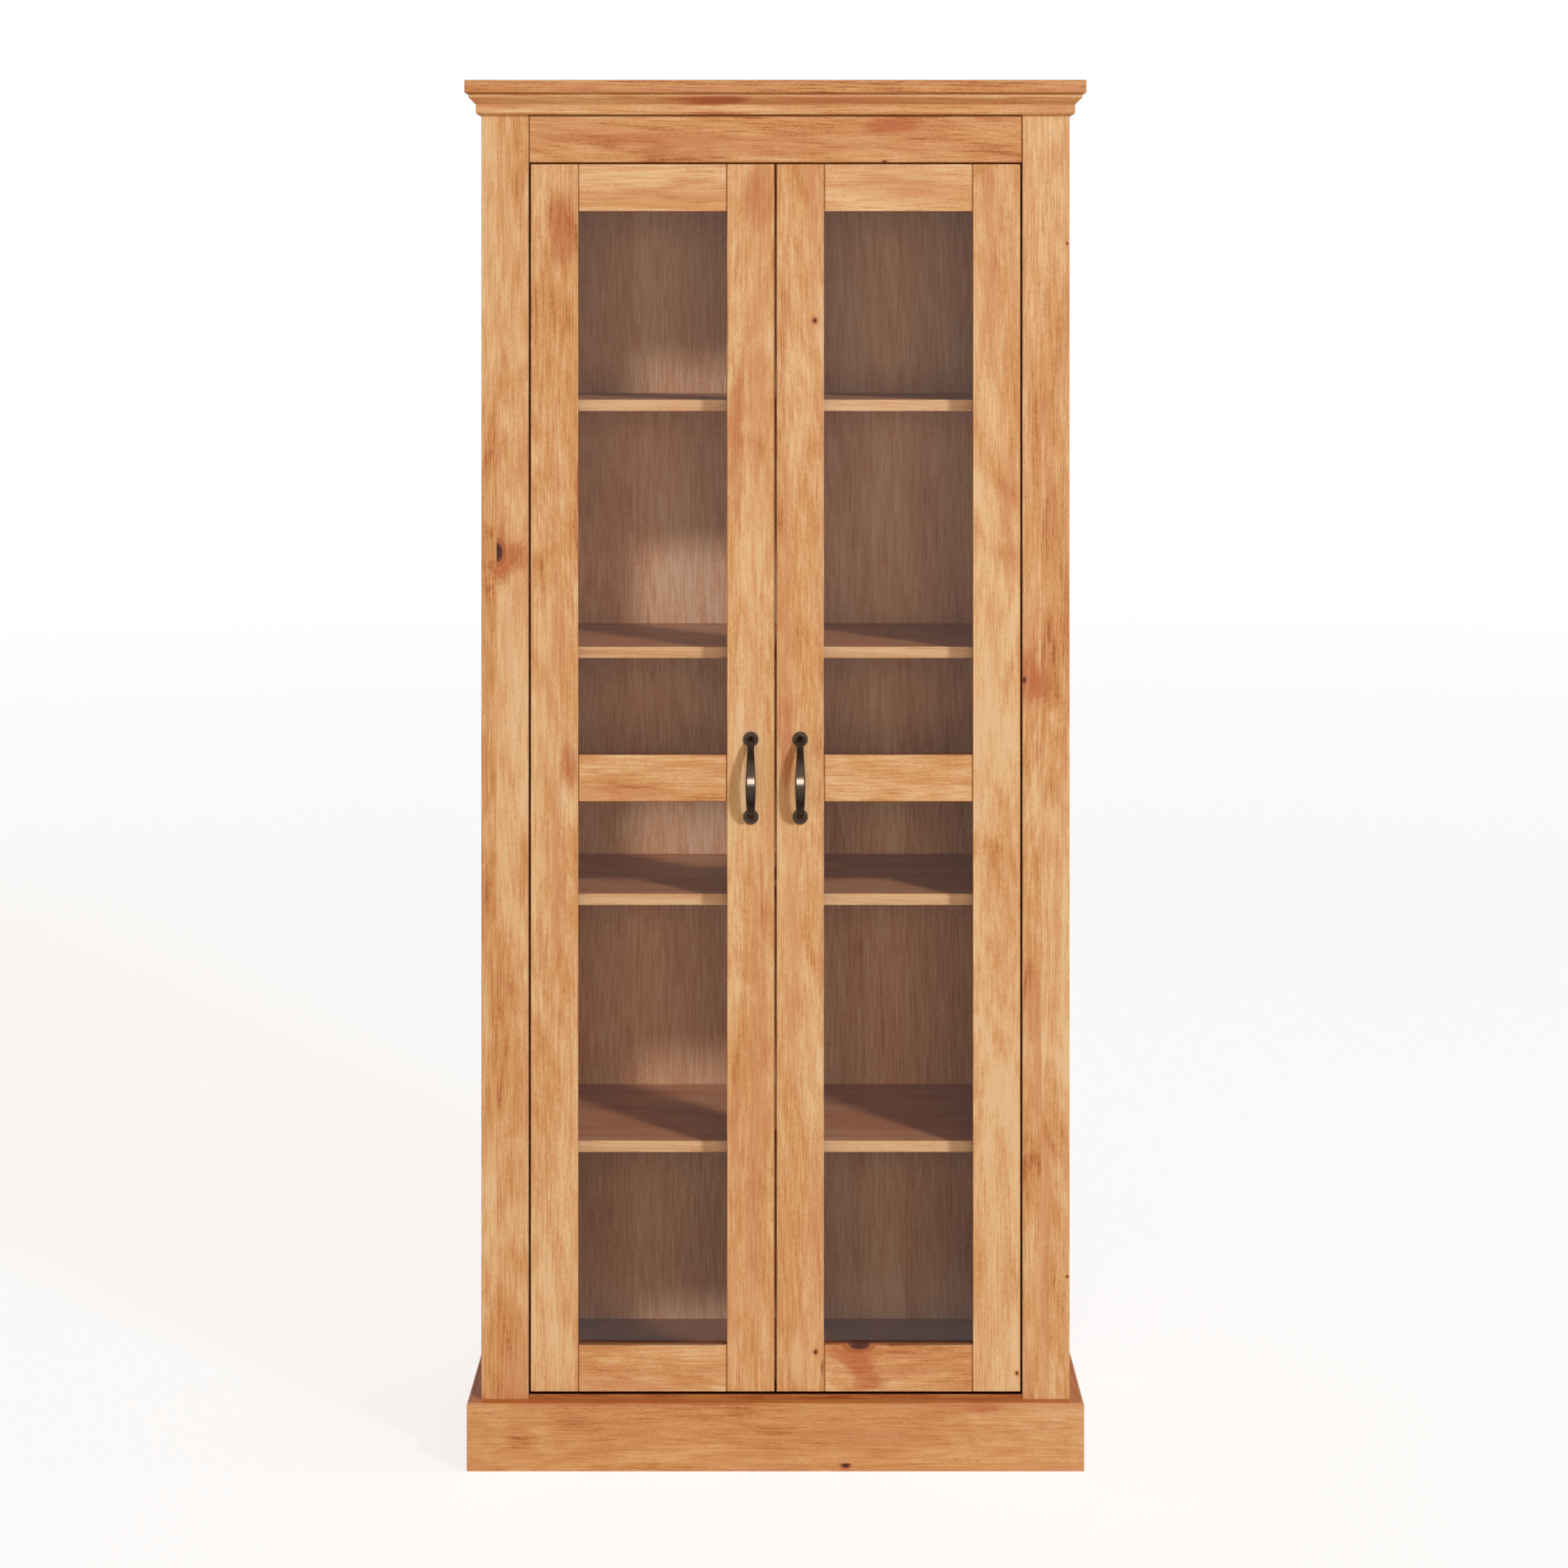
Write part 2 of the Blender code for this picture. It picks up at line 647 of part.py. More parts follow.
def make_cup(name, side, height, pivot, stile):
    """The cup in the door, with the plate that is screwed to the back of the stile."""
    x = side * CUP_X
    radius = CUP_DIAMETER / 2
    front = DOOR_THICKNESS - CUP_DEPTH
    length = CUP_BACK - front
    where = Vector((x, behind_face(front + length / 2), height))
    cup = add_part(name, drum_mesh(name, radius, length), where, STEEL, pivot)
    plate = box_cutter(
        f"{name}_plate",
        (x - CUP_PLATE_WIDTH / 2, x + CUP_PLATE_WIDTH / 2),
        (DOOR_THICKNESS + GAP, CUP_BACK),
        (height - CUP_PLATE_LENGTH / 2, height + CUP_PLATE_LENGTH / 2),
        pivot,
    )
    combine(cup, plate, "UNION")
    hollow_length = CUP_DEPTH - CUP_WALL + CUT_MARGIN
    hollow_y = behind_face(front + CUP_WALL + hollow_length / 2)
    hollow = add_cutter(
        f"{name}_hollow",
        drum_mesh(f"{name}_hollow", radius - CUP_WALL, hollow_length),
        Vector((x, hollow_y, height)),
        pivot,
    )
    combine(cup, hollow, "DIFFERENCE")
    seat_length = CUP_DEPTH + GAP + CUT_MARGIN
    seat_y = behind_face(front - GAP + seat_length / 2)
    seat = add_cutter(
        f"{name}_seat",
        drum_mesh(f"{name}_seat", radius + GAP, seat_length),
        Vector((x, seat_y, height)),
        pivot,
    )
    combine(stile, seat, "DIFFERENCE")


def make_arm(name, side, height):
    """The arm on its plate, seated on the hinge post. Its nose spans the cup from the rim to its middle."""
    front = CUP_BACK + GAP
    back = BEHIND_FRAME + HINGE_POST_DEPTH - ARM_BACK_SPACE
    root = GAP + ARM_PLATE_THICKNESS / 2
    crank = front + ARM_NOSE + ARM_CRANK_LENGTH
    cup_rim = DOOR_SIDE_GAP + CUP_EDGE_DISTANCE
    cup_middle = cup_rim + CUP_DIAMETER / 2
    # Distances inward from the post, then depths behind the face
    outline = [
        (root, back),
        (root, crank),
        (cup_rim, front),
        (cup_middle, front),
        (cup_middle, front + ARM_NOSE),
        (root + ARM_HEIGHT, crank),
        (root + ARM_HEIGHT, back),
    ]
    points = [(side * (STILE_INNER - inward), behind_face(depth)) for inward, depth in outline]
    mesh = extruded_mesh(name, points, ARM_WIDTH)
    arm = add_part(name, mesh, (0, 0, height), STEEL)
    plate = box_cutter(
        f"{name}_plate",
        across(side, STILE_INNER - GAP - ARM_PLATE_THICKNESS, STILE_INNER - GAP),
        (back - ARM_PLATE_DEPTH, back + GAP),
        (height - ARM_PLATE_LENGTH / 2, height + ARM_PLATE_LENGTH / 2),
    )
    combine(arm, plate, "UNION")


remove_objects()
PARTS = new_collection("display_cabinet")
CUTTERS = new_collection("cutters")
make_crown()
make_face_frame()
make_carcass()
make_plinth()
make_shelves()
for door, door_side in SIDES.items():
    make_door(door, door_side)
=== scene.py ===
import math

import bmesh
import bpy
from mathutils import Matrix, Vector


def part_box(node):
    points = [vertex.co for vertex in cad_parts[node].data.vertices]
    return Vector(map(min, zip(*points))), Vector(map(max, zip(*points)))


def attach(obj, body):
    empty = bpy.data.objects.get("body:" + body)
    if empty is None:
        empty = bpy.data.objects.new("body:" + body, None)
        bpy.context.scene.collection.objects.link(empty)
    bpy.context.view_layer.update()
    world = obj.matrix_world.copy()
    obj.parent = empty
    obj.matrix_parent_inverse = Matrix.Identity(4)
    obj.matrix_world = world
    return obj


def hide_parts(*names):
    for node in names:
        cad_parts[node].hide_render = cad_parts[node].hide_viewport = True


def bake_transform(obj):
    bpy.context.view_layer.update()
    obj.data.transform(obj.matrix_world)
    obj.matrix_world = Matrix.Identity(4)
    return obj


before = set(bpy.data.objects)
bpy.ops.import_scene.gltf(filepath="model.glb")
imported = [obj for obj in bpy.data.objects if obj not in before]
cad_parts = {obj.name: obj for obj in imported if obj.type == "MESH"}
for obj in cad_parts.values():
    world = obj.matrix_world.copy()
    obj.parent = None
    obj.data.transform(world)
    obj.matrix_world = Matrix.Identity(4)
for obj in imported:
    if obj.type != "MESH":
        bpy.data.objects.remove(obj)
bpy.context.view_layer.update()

# Planes, gaps and joints read from the frame: the left half mirrors the right half
FACE_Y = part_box("stile_left")[0].y
DOOR_BACK_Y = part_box("door_left_meeting_stile")[1].y
STILE_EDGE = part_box("stile_right")[0].x
DOOR_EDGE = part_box("door_right_hinge_stile")[1].x
MEETING_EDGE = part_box("door_right_meeting_stile")[0].x
RAIL_ENDS = (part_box("door_right_meeting_stile")[1].x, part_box("door_right_hinge_stile")[0].x)
CROWN_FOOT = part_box("crown_front")[0].z
HEADER_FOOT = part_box("header_rail")[0].z

# Camera: the photograph's horizon lies above the middle of its frame
PHOTO_SIDE = 1932
HORIZON_PIXEL = 370.0
FOCAL_PIXELS = 3815.0
SENSOR_WIDTH = 36.0
CAMERA_DISTANCE = 4.0
CAMERA_HEIGHT = 1.5065
CAMERA_X = 0.011
CAMERA_REACH = 200.0

# Lamps: a small key to the upper right, a soft light in front and a glint for the handles
KEY_PLACE = Vector((2.38, -3.00, 3.33))
LAMP_TARGET = Vector((0.0, FACE_Y, 0.95))
KEY_SIZE = (0.42, 0.42)
KEY_POWER = 130.0
KEY_COLOUR = (0.88, 1.03, 1.20)
SHADOW_POWER = 16.0
FRONT_PLACE = Vector((0.15, -4.4, 1.4))
FRONT_SIZE = (2.4, 1.4)
FRONT_POWER = 40.0
FRONT_COLOUR = (1.08, 0.98, 0.84)
GLINT_PLACE = Vector((0.05, -4.16, 0.24))
GLINT_SIZE = (1.0, 0.46)
GLINT_POWER = 14.0

# Surround: a warm fill lights the cabinet, a white backdrop shows behind it and a dim studio before it
WHITE = (1.0, 1.0, 1.0, 1.0)
FILL_STRENGTH = 0.31
FILL_COLOUR = (1.0, 0.80, 0.60)
BACKGROUND_STRENGTH = 1.0
STUDIO_COLOUR = (0.70, 0.62, 0.58, 1.0)
BACKDROP_EDGES = (-0.75, -0.30)

# Floor: its matt white, its own glow, and how far out the lamps' share of its light ends
FLOOR_SIZE = 60.0
FLOOR_WHITE = (0.8, 0.8, 0.8, 1.0)
FLOOR_BOUNCE = 0.15
FLOOR_SHADE = (0.50, 0.72, 0.92)
FLOOR_LAMP_SHARE = 0.11
FLOOR_GLOW_REACH = (3.0, 14.0)

# What panes and metal show of the floor: white up to the sweep in front of the cabinet, dimmer beyond it
SWEEP_START = -0.4
SWEEP_END = -1.1
STUDIO_TINT = (1.0, 0.89, 0.83)
STUDIO_FLOOR_STRENGTH = 0.3
STUDIO_FLOOR_END = -14.0
STUDIO_FLOOR_FAR = 0.66


def linear(red, green, blue):
    """A colour given in 0 to 255 as a screen shows it, as the linear values that shaders take."""
    values = []
    for part in (red, green, blue):
        share = part / 255
        values.append(share / 12.92 if share <= 0.04045 else ((share + 0.055) / 1.055) ** 2.4)
    return (*values, 1.0)


class Graph:
    """Builds a node tree by calls, most of which return the socket that they made."""

    def __init__(self, tree):
        self.tree = tree

    def feed(self, node, inputs):
        """Links each input of a node to a socket, or sets it to a value."""
        for key, value in inputs.items():
            if isinstance(value, bpy.types.NodeSocket):
                self.tree.links.new(value, node.inputs[key])
            else:
                node.inputs[key].default_value = value

    def node(self, kind, inputs=None, **settings):
        made = self.tree.nodes.new(kind)
        for key, value in settings.items():
            setattr(made, key, value)
        self.feed(made, inputs or {})
        return made

    def output(self, kind, inputs=None, **settings):
        return self.node(kind, inputs, **settings).outputs[0]

    def place(self):
        """A point's place in the cabinet, in metres."""
        return self.node("ShaderNodeTexCoord").outputs["Object"]

    def facing(self, axis):
        """How far the surface faces along an axis."""
        return self.separate(self.node("ShaderNodeNewGeometry").outputs["True Normal"])[axis]

    def math(self, operation, first, second=0.0, third=0.0):
        return self.output("ShaderNodeMath", {0: first, 1: second, 2: third}, operation=operation)

    def times(self, first, *others):
        for other in others:
            first = self.math("MULTIPLY", first, other)
        return first

    def plus(self, first, *others):
        for other in others:
            first = self.math("ADD", first, other)
        return first

    def minus(self, first, second):
        return self.math("SUBTRACT", first, second)

    def vector(self, operation, first, second=(0.0, 0.0, 0.0), output=0):
        made = self.node("ShaderNodeVectorMath", {0: first, 1: second}, operation=operation)
        return made.outputs[output]

    def length(self, vector):
        return self.vector("LENGTH", vector, output=1)

    def combine(self, x, y, z):
        return self.output("ShaderNodeCombineXYZ", {0: x, 1: y, 2: z})

    def separate(self, vector):
        return self.node("ShaderNodeSeparateXYZ", {0: vector}).outputs

    def noise(self, vector, detail=2.0, roughness=0.5, scale=1.0, output="Fac"):
        inputs = {"Vector": vector, "Scale": scale, "Detail": detail, "Roughness": roughness}
        return self.node("ShaderNodeTexNoise", inputs).outputs[output]

    def stretched(self, vector, scales, **settings):
        """Noise with a scale of its own along each axis."""
        return self.noise(self.vector("MULTIPLY", vector, scales), **settings)

    def shaken(self, point, noise, reach):
        """A point moved by a colour noise, by half of its reach either way."""
        away = self.vector("SUBTRACT", noise, (0.5, 0.5, 0.5))
        return self.vector("ADD", point, self.vector("MULTIPLY", away, reach))

    def spread(self, value, low, high, out_low=0.0, out_high=1.0, smooth=False):
        inputs = {0: value, 1: low, 2: high, 3: out_low, 4: out_high}
        kind = "SMOOTHSTEP" if smooth else "LINEAR"
        return self.output("ShaderNodeMapRange", inputs, interpolation_type=kind)

    def mix(self, factor, first, second, blend="MIX"):
        inputs = {0: factor, 6: first, 7: second}
        return self.node("ShaderNodeMix", inputs, data_type="RGBA", blend_type=blend).outputs[2]

    def ramp(self, factor, stops):
        made = self.node("ShaderNodeValToRGB", {0: factor})
        elements = made.color_ramp.elements
        elements[0].position, elements[0].color = stops[0]
        elements[1].position, elements[1].color = stops[-1]
        for position, colour in stops[1:-1]:
            elements.new(position).color = colour
        return made.outputs[0]


def new_material(name):
    """A material with its graph and its Principled shader."""
    material = bpy.data.materials.new(name)
    material.use_nodes = True
    return material, Graph(material.node_tree), material.node_tree.nodes["Principled BSDF"]


def add_object(name, data):
    obj = bpy.data.objects.new(name, data)
    bpy.context.scene.collection.objects.link(obj)
    return obj


# Camera
def make_camera():
    data = bpy.data.cameras.new("camera")
    data.sensor_width = SENSOR_WIDTH
    data.lens = FOCAL_PIXELS / PHOTO_SIDE * SENSOR_WIDTH
    data.shift_y = -(PHOTO_SIDE / 2 - HORIZON_PIXEL) / PHOTO_SIDE
    data.clip_end = CAMERA_REACH
    camera = add_object("camera", data)
    camera.location = (CAMERA_X, FACE_Y - CAMERA_DISTANCE, CAMERA_HEIGHT)
    camera.rotation_euler = (math.pi / 2, 0, 0)
    bpy.context.scene.camera = camera


# World, floor and lamps
def shown_ray(graph):
    """1 for rays seen straight, mirrored or through glass, and 0 for light that a matt surface scattered."""
    path = graph.node("ShaderNodeLightPath").outputs
    seen = graph.math("MAXIMUM", path["Is Camera Ray"], path["Is Glossy Ray"])
    seen = graph.math("MAXIMUM", seen, path["Is Transmission Ray"])
    return graph.times(seen, graph.math("LESS_THAN", path["Diffuse Depth"], 0.5))


def make_world():
    """A white backdrop behind the cabinet and a dim studio in front, which only metal and glass show."""
    world = bpy.data.worlds.new("studio")
    world.use_nodes = True
    bpy.context.scene.world = world
    graph = Graph(world.node_tree)
    background = world.node_tree.nodes["Background"]
    backward = graph.separate(graph.node("ShaderNodeTexCoord").outputs["Generated"])[1]
    backdrop = graph.spread(backward, *BACKDROP_EDGES, smooth=True)
    shown = graph.mix(backdrop, STUDIO_COLOUR, WHITE)
    colour = graph.mix(shown_ray(graph), (*FILL_COLOUR, 1.0), shown)
    strength = graph.spread(shown_ray(graph), 0.0, 1.0, FILL_STRENGTH, BACKGROUND_STRENGTH)
    graph.feed(background, {"Color": colour, "Strength": strength})


def floor_level(graph, y, camera_ray):
    """How light the floor looks: white to the camera, dimmer beyond the sweep in panes and metal."""
    near = graph.spread(y, SWEEP_END, SWEEP_START, STUDIO_FLOOR_STRENGTH, 1.0, smooth=True)
    far = graph.spread(y, STUDIO_FLOOR_END, SWEEP_END, STUDIO_FLOOR_FAR, STUDIO_FLOOR_STRENGTH)
    return graph.math("MAXIMUM", graph.math("MAXIMUM", near, far), camera_ray)


def floor_glow(graph):
    """The floor's own light: what the lamps and the fill leave short of white."""
    x, y = graph.separate(graph.place())[:2]
    camera_ray = graph.node("ShaderNodeLightPath").outputs["Is Camera Ray"]
    distance = graph.length(graph.combine(x, y, 0.0))
    lamp_share = graph.spread(distance, *FLOOR_GLOW_REACH, FLOOR_LAMP_SHARE, 0.0, smooth=True)
    parts = []
    for shade, fill, tint in zip(FLOOR_SHADE, FILL_COLOUR, STUDIO_TINT):
        part = graph.math("MULTIPLY_ADD", lamp_share, -shade, 1.0 - shade * fill * FILL_STRENGTH)
        parts.append(graph.times(part, graph.spread(camera_ray, 0.0, 1.0, tint, 1.0)))
    inputs = {"Color": graph.combine(*parts), "Strength": floor_level(graph, y, camera_ray)}
    return graph.output("ShaderNodeEmission", inputs)


def make_floor_material():
    """White with a soft shadow where the floor shows, and matt white where it only lights the cabinet."""
    material = bpy.data.materials.new("floor")
    material.use_nodes = True
    material.node_tree.nodes.clear()
    graph = Graph(material.node_tree)
    matt = graph.output("ShaderNodeBsdfDiffuse", {"Color": FLOOR_WHITE})
    bounce = graph.output("ShaderNodeEmission", {"Color": (*FILL_COLOUR, 1.0), "Strength": FLOOR_BOUNCE})
    unseen = graph.output("ShaderNodeAddShader", {0: matt, 1: bounce})
    shaded = graph.output("ShaderNodeBsdfDiffuse", {"Color": (*FLOOR_SHADE, 1.0)})
    shown = graph.output("ShaderNodeAddShader", {0: floor_glow(graph), 1: shaded})
    surface = graph.output("ShaderNodeMixShader", {0: shown_ray(graph), 1: unseen, 2: shown})
    graph.node("ShaderNodeOutputMaterial", {"Surface": surface})
    return material


def make_floor():
    mesh = bpy.data.meshes.new("floor")
    shape = bmesh.new()
    bmesh.ops.create_grid(shape, x_segments=1, y_segments=1, size=FLOOR_SIZE / 2)
    shape.to_mesh(mesh)
    shape.free()
    mesh.materials.append(make_floor_material())
    floor = add_object("floor", mesh)
    return floor


def add_lamp(name, place, size, power, colour=(1.0, 1.0, 1.0)):
    """A soft rectangular lamp that keeps its strength over the height of the cabinet."""
    data = bpy.data.lights.new(name, "AREA")
    data.shape = "RECTANGLE"
    data.size, data.size_y = size
    data.energy = power
    data.color = colour
    data.use_nodes = True
    graph = Graph(data.node_tree)
    away = LAMP_TARGET - place
    falloff = graph.node("ShaderNodeLightFalloff", {"Strength": 1.0 / away.length**2}).outputs["Constant"]
    graph.feed(data.node_tree.nodes["Emission"], {"Strength": falloff})
    lamp = add_object(name, data)
    lamp.location = place
    lamp.rotation_euler = away.to_track_quat("-Z", "Y").to_euler()
    lamp.visible_camera = False
    lamp.visible_transmission = False
    return lamp


def link_lamp(lamp, objects, state):
    """Limits a lamp to some objects, or keeps it off them."""
    receivers = bpy.data.collections.new(f"{lamp.name} receivers")
    for obj in objects:
        receivers.objects.link(obj)
    lamp.light_linking.receiver_collection = receivers
    for entry in receivers.collection_objects:
        entry.light_linking.link_state = state


def make_lights(floor, handles):
    """The key leaves out the floor, which has a weak lamp of its own, and the handles, which have a glint."""
    key = add_lamp("key", KEY_PLACE, KEY_SIZE, KEY_POWER, KEY_COLOUR)
    link_lamp(key, [floor, *handles], "EXCLUDE")
    front = add_lamp("front", FRONT_PLACE, FRONT_SIZE, FRONT_POWER, FRONT_COLOUR)
    front.visible_glossy = False
    link_lamp(front, [floor], "EXCLUDE")
    shadow = add_lamp("floor shadow", KEY_PLACE, KEY_SIZE, SHADOW_POWER)
    link_lamp(shadow, [floor], "INCLUDE")
    glint = add_lamp("glint", GLINT_PLACE, GLINT_SIZE, GLINT_POWER)
    link_lamp(glint, handles, "INCLUDE")


# Pine: its colours, from the lightest early wood to the pores, knots, stains, gathered finish and lines of
# painted shade
LIGHT_WOOD = linear(230, 189, 139)
HONEY_WOOD = linear(216, 161, 107)
ORANGE_WOOD = linear(199, 133, 79)
BROWN_WOOD = linear(168, 98, 52)
WOOD_STOPS = [(0.20, LIGHT_WOOD), (0.50, HONEY_WOOD), (0.82, ORANGE_WOOD), (1.0, BROWN_WOOD)]
PORE_WOOD = linear(150, 82, 38)
BLUSH_WOOD = linear(206, 138, 94)
RED_WOOD = linear(186, 104, 62)
STREAK_WOOD = linear(128, 50, 30)
SEAM_WOOD = linear(158, 84, 34)
# The dark line colour is painted shade: along the gaps, over the rails' top edges and under the crown
SHADE_LINE_WOOD = linear(92, 40, 16)
HALO_WOOD = linear(196, 118, 66)
KNOT_RING_WOOD = linear(150, 80, 46)
KNOT_EDGE_WOOD = linear(112, 60, 48)
KNOT_WOOD = linear(64, 32, 30)

# Its surface
STRIP_VARIETY = 0.09
PORE_DEPTH = 0.45
WOOD_GLOSS = 0.28
WOOD_ROUGHNESS = (0.46, 0.58)
WOOD_BUMP = {"Strength": 0.25, "Distance": 0.0003}

# Scales of its figure, per metre along the grain, across it and into the board
WANDER_SCALES = (2.0, 6.0, 6.0)
PATCH_SCALES = (4.0, 26.0, 26.0)
LINE_SCALES = (0.55, 74.0, 74.0)
FIBRE_SCALES = (20.0, 560.0, 560.0)
SPECKLE_SCALES = (170.0, 600.0, 600.0)
BLUSH_SCALES = (3.0, 32.0, 32.0)
PORE_SCALES = (150.0, 1100.0, 1100.0)
PORE_PATCH_SCALES = (7.0, 55.0, 55.0)
WANDER_REACH = (0.0, 0.010, 0.016)

# Its growth rings: a slow rise to the dark late wood and a sharp end
RING_SPACING = 0.0042
RING_UNEVEN_SCALE = 90.0
RING_UNEVENNESS = 1.8
RING_LEVELS = ((0.0, 0.0), (0.50, 0.10), (0.80, 1.0), (0.90, 0.5), (1.0, 0.0))
FIGURE_INPUTS = {"Pith Across": 0.0, "Pith Depth": 0.045, "Taper": 0.03, "Swell": 0.0, "Rings": 0.5}
FIGURE_OUTPUTS = ("Tone", "Fine", "Blush", "Pores", "Height")


def growth_rings(graph, inside, bent):
    """Rings round a pith behind the board, and a point's place along, out from and round that pith."""
    along, across, into = graph.separate(bent)[:3]
    side = graph.minus(across, inside["Pith Across"])
    slant = graph.times(along, inside["Taper"])
    depth = graph.plus(graph.minus(into, inside["Pith Depth"]), slant)
    radius = graph.plus(graph.length(graph.combine(0.0, side, depth)), inside["Swell"])
    uneven = graph.combine(graph.times(radius, RING_UNEVEN_SCALE), 0.0, 0.0)
    count = graph.math("DIVIDE", radius, RING_SPACING)
    count = graph.math("MULTIPLY_ADD", graph.noise(uneven, detail=1.0), RING_UNEVENNESS, count)
    stops = [(place, (level, level, level, 1.0)) for place, level in RING_LEVELS]
    rings = graph.ramp(graph.math("FRACT", count), stops)
    presence = graph.spread(graph.stretched(inside["Vector"], PATCH_SCALES, detail=1.0), 0.38, 0.62)
    rings = graph.times(rings, presence, inside["Rings"])
    return rings, graph.combine(along, radius, graph.times(side, 0.12))


def make_figure_group():
    """The figure of a pine board. The vector is metres along the grain, across it and into the board."""
    group = bpy.data.node_groups.new("pine figure", "ShaderNodeTree")
    sockets = group.interface
    sockets.new_socket("Vector", in_out="INPUT", socket_type="NodeSocketVector")
    for name, value in FIGURE_INPUTS.items():
        sockets.new_socket(name, in_out="INPUT", socket_type="NodeSocketFloat").default_value = value
    for name in FIGURE_OUTPUTS:
        sockets.new_socket(name, in_out="OUTPUT", socket_type="NodeSocketFloat")
    graph = Graph(group)
    inside = group.nodes.new("NodeGroupInput").outputs
    point = inside["Vector"]

    # Slow wander of the grain along the board
    wander = graph.stretched(point, WANDER_SCALES, detail=1.5, output="Color")
    bent = graph.shaken(point, wander, WANDER_REACH)

    # Rings, streaks that follow them, fine straight fibres, and patches long in the grain
    rings, layered = growth_rings(graph, inside, bent)
    patch = graph.stretched(bent, PATCH_SCALES, detail=2.0, roughness=0.55)
    lines = graph.stretched(layered, LINE_SCALES, detail=4.0, roughness=0.88)
    fibre = graph.stretched(point, FIBRE_SCALES, detail=1.0)
    speckle = graph.stretched(point, SPECKLE_SCALES, detail=1.0)
    tone = graph.spread(patch, 0.25, 0.75, 0.43, 0.53)
    tone = graph.plus(graph.spread(lines, 0.3, 0.7, -0.40, 0.40), tone)
    fine = graph.spread(fibre, 0.25, 0.75, -0.22, 0.22)
    fine = graph.plus(graph.spread(speckle, 0.25, 0.75, -0.12, 0.12), fine)
    tone = graph.math("MULTIPLY_ADD", rings, 0.22, graph.plus(tone, fine))

    # Soft reddish patches, pores that crowd in places, and the relief of all these
    blush = graph.spread(graph.stretched(bent, BLUSH_SCALES, detail=3.0), 0.50, 0.70, smooth=True)
    crowd = graph.spread(graph.stretched(point, PORE_PATCH_SCALES, detail=1.0), 0.42, 0.68)
    pores = graph.spread(graph.stretched(point, PORE_SCALES, detail=0.0), 0.68, 0.80, smooth=True)
    pores = graph.times(pores, crowd)
    height = graph.math("MULTIPLY_ADD", fibre, 0.35, graph.times(rings, 0.4))
    height = graph.minus(height, graph.times(pores, 0.6))
    outputs = dict(zip(FIGURE_OUTPUTS, (tone, fine, blush, pores, height)))
    graph.feed(group.nodes.new("NodeGroupOutput"), outputs)
    return group


FIGURE = make_figure_group()

# Which of x, y and z run along the grain, across it and into the board
GRAIN_AXES = {
    "front upright": (2, 0, 1),
    "front level": (0, 2, 1),
    "flat level": (0, 1, 2),
    "side upright": (2, 1, 0),
    "side level": (1, 2, 0),
}

# Glued strips: how their grain is shifted, and where their piths may lie
STRIP_SHIFT = (0.73, 0.31, 0.17)
SEED_STEP = 7.31
PITH_ACROSS = (-0.05, 0.05)
PITH_DEPTH = (0.02, 0.07)


def board_strips(graph, point, seed, width, start):
    """A chance number for the glued strip that each point lies in, and the point moved by it."""
    across = graph.separate(point)[1]
    number = graph.math("FLOOR", graph.math("DIVIDE", graph.minus(across, start), width))
    number = graph.plus(number, seed * SEED_STEP)
    shift = graph.vector("MULTIPLY", graph.combine(number, number, number), STRIP_SHIFT)
    chance = graph.output("ShaderNodeTexWhiteNoise", {"W": number}, noise_dimensions="1D")
    return chance, graph.vector("ADD", point, shift)


def board_figure(graph, point, moved, chance, look):
    """The figure group's outputs for one board, each strip of which has its own pith behind it."""
    across, into = graph.separate(point)[1:3]
    moved_across, moved_into = graph.separate(moved)[1:3]
    start_across = graph.minus(moved_across, graph.minus(across, look["strips"][1]))
    start_into = graph.minus(moved_into, into)
    inputs = {
        "Vector": moved,
        "Pith Across": graph.plus(start_across, graph.spread(chance, 0.0, 1.0, *PITH_ACROSS)),
        "Pith Depth": graph.plus(start_into, graph.spread(chance, 0.0, 1.0, *PITH_DEPTH)),
        "Swell": bulge_at_knots(graph, point, look["knots"]),
        "Rings": look["rings"],
    }
    return graph.node("ShaderNodeGroup", inputs, node_tree=FIGURE).outputs


# Knots: how rings bend round one, and its layers by share of its size, softness, raggedness, depth and colour
KNOT_BEND = 0.6
KNOT_BEND_REACH = 2.4
KNOT_BEND_SOFTNESS = 0.9
KNOT_LAYERS = (
    (2.3, 0.45, 0.35, 0.50, HALO_WOOD),
    (1.45, 0.16, 0.15, 0.75, KNOT_RING_WOOD),
    (1.22, 0.10, 0.12, 0.70, HALO_WOOD),
    (1.0, 0.12, 0.14, 0.92, KNOT_EDGE_WOOD),
    (0.72, 0.25, 0.20, 0.85, KNOT_WOOD),
)
SPOT_NOISE_SCALE = 1.3


def spot(graph, point, centre, size, softness, ragged):
    """A mask that is 1 inside an oval: centre and size are (along, across) in metres."""
    away = graph.vector("SUBTRACT", point, (*centre, 0.0))
    away = graph.vector("MULTIPLY", away, (1 / size[0], 1 / size[1], 0.0))
    noise = graph.noise(away, detail=3.0, scale=SPOT_NOISE_SCALE, output="Color")
    away = graph.shaken(away, noise, (ragged * 2, ragged * 2, 0.0))
    return graph.spread(graph.length(away), 1 + softness, 1 - softness, smooth=True)


def bulge_at_knots(graph, point, knots):
    """How far the growth rings bend round the board's knots, in metres."""
    swell = 0.0
    for knot in knots:
        wide = [KNOT_BEND_REACH * length for length in knot["size"]]
        mask = spot(graph, point, knot["at"], wide, KNOT_BEND_SOFTNESS, 0.0)
        swell = graph.math("MULTIPLY_ADD", mask, knot["size"][1] * KNOT_BEND, swell)
    return swell


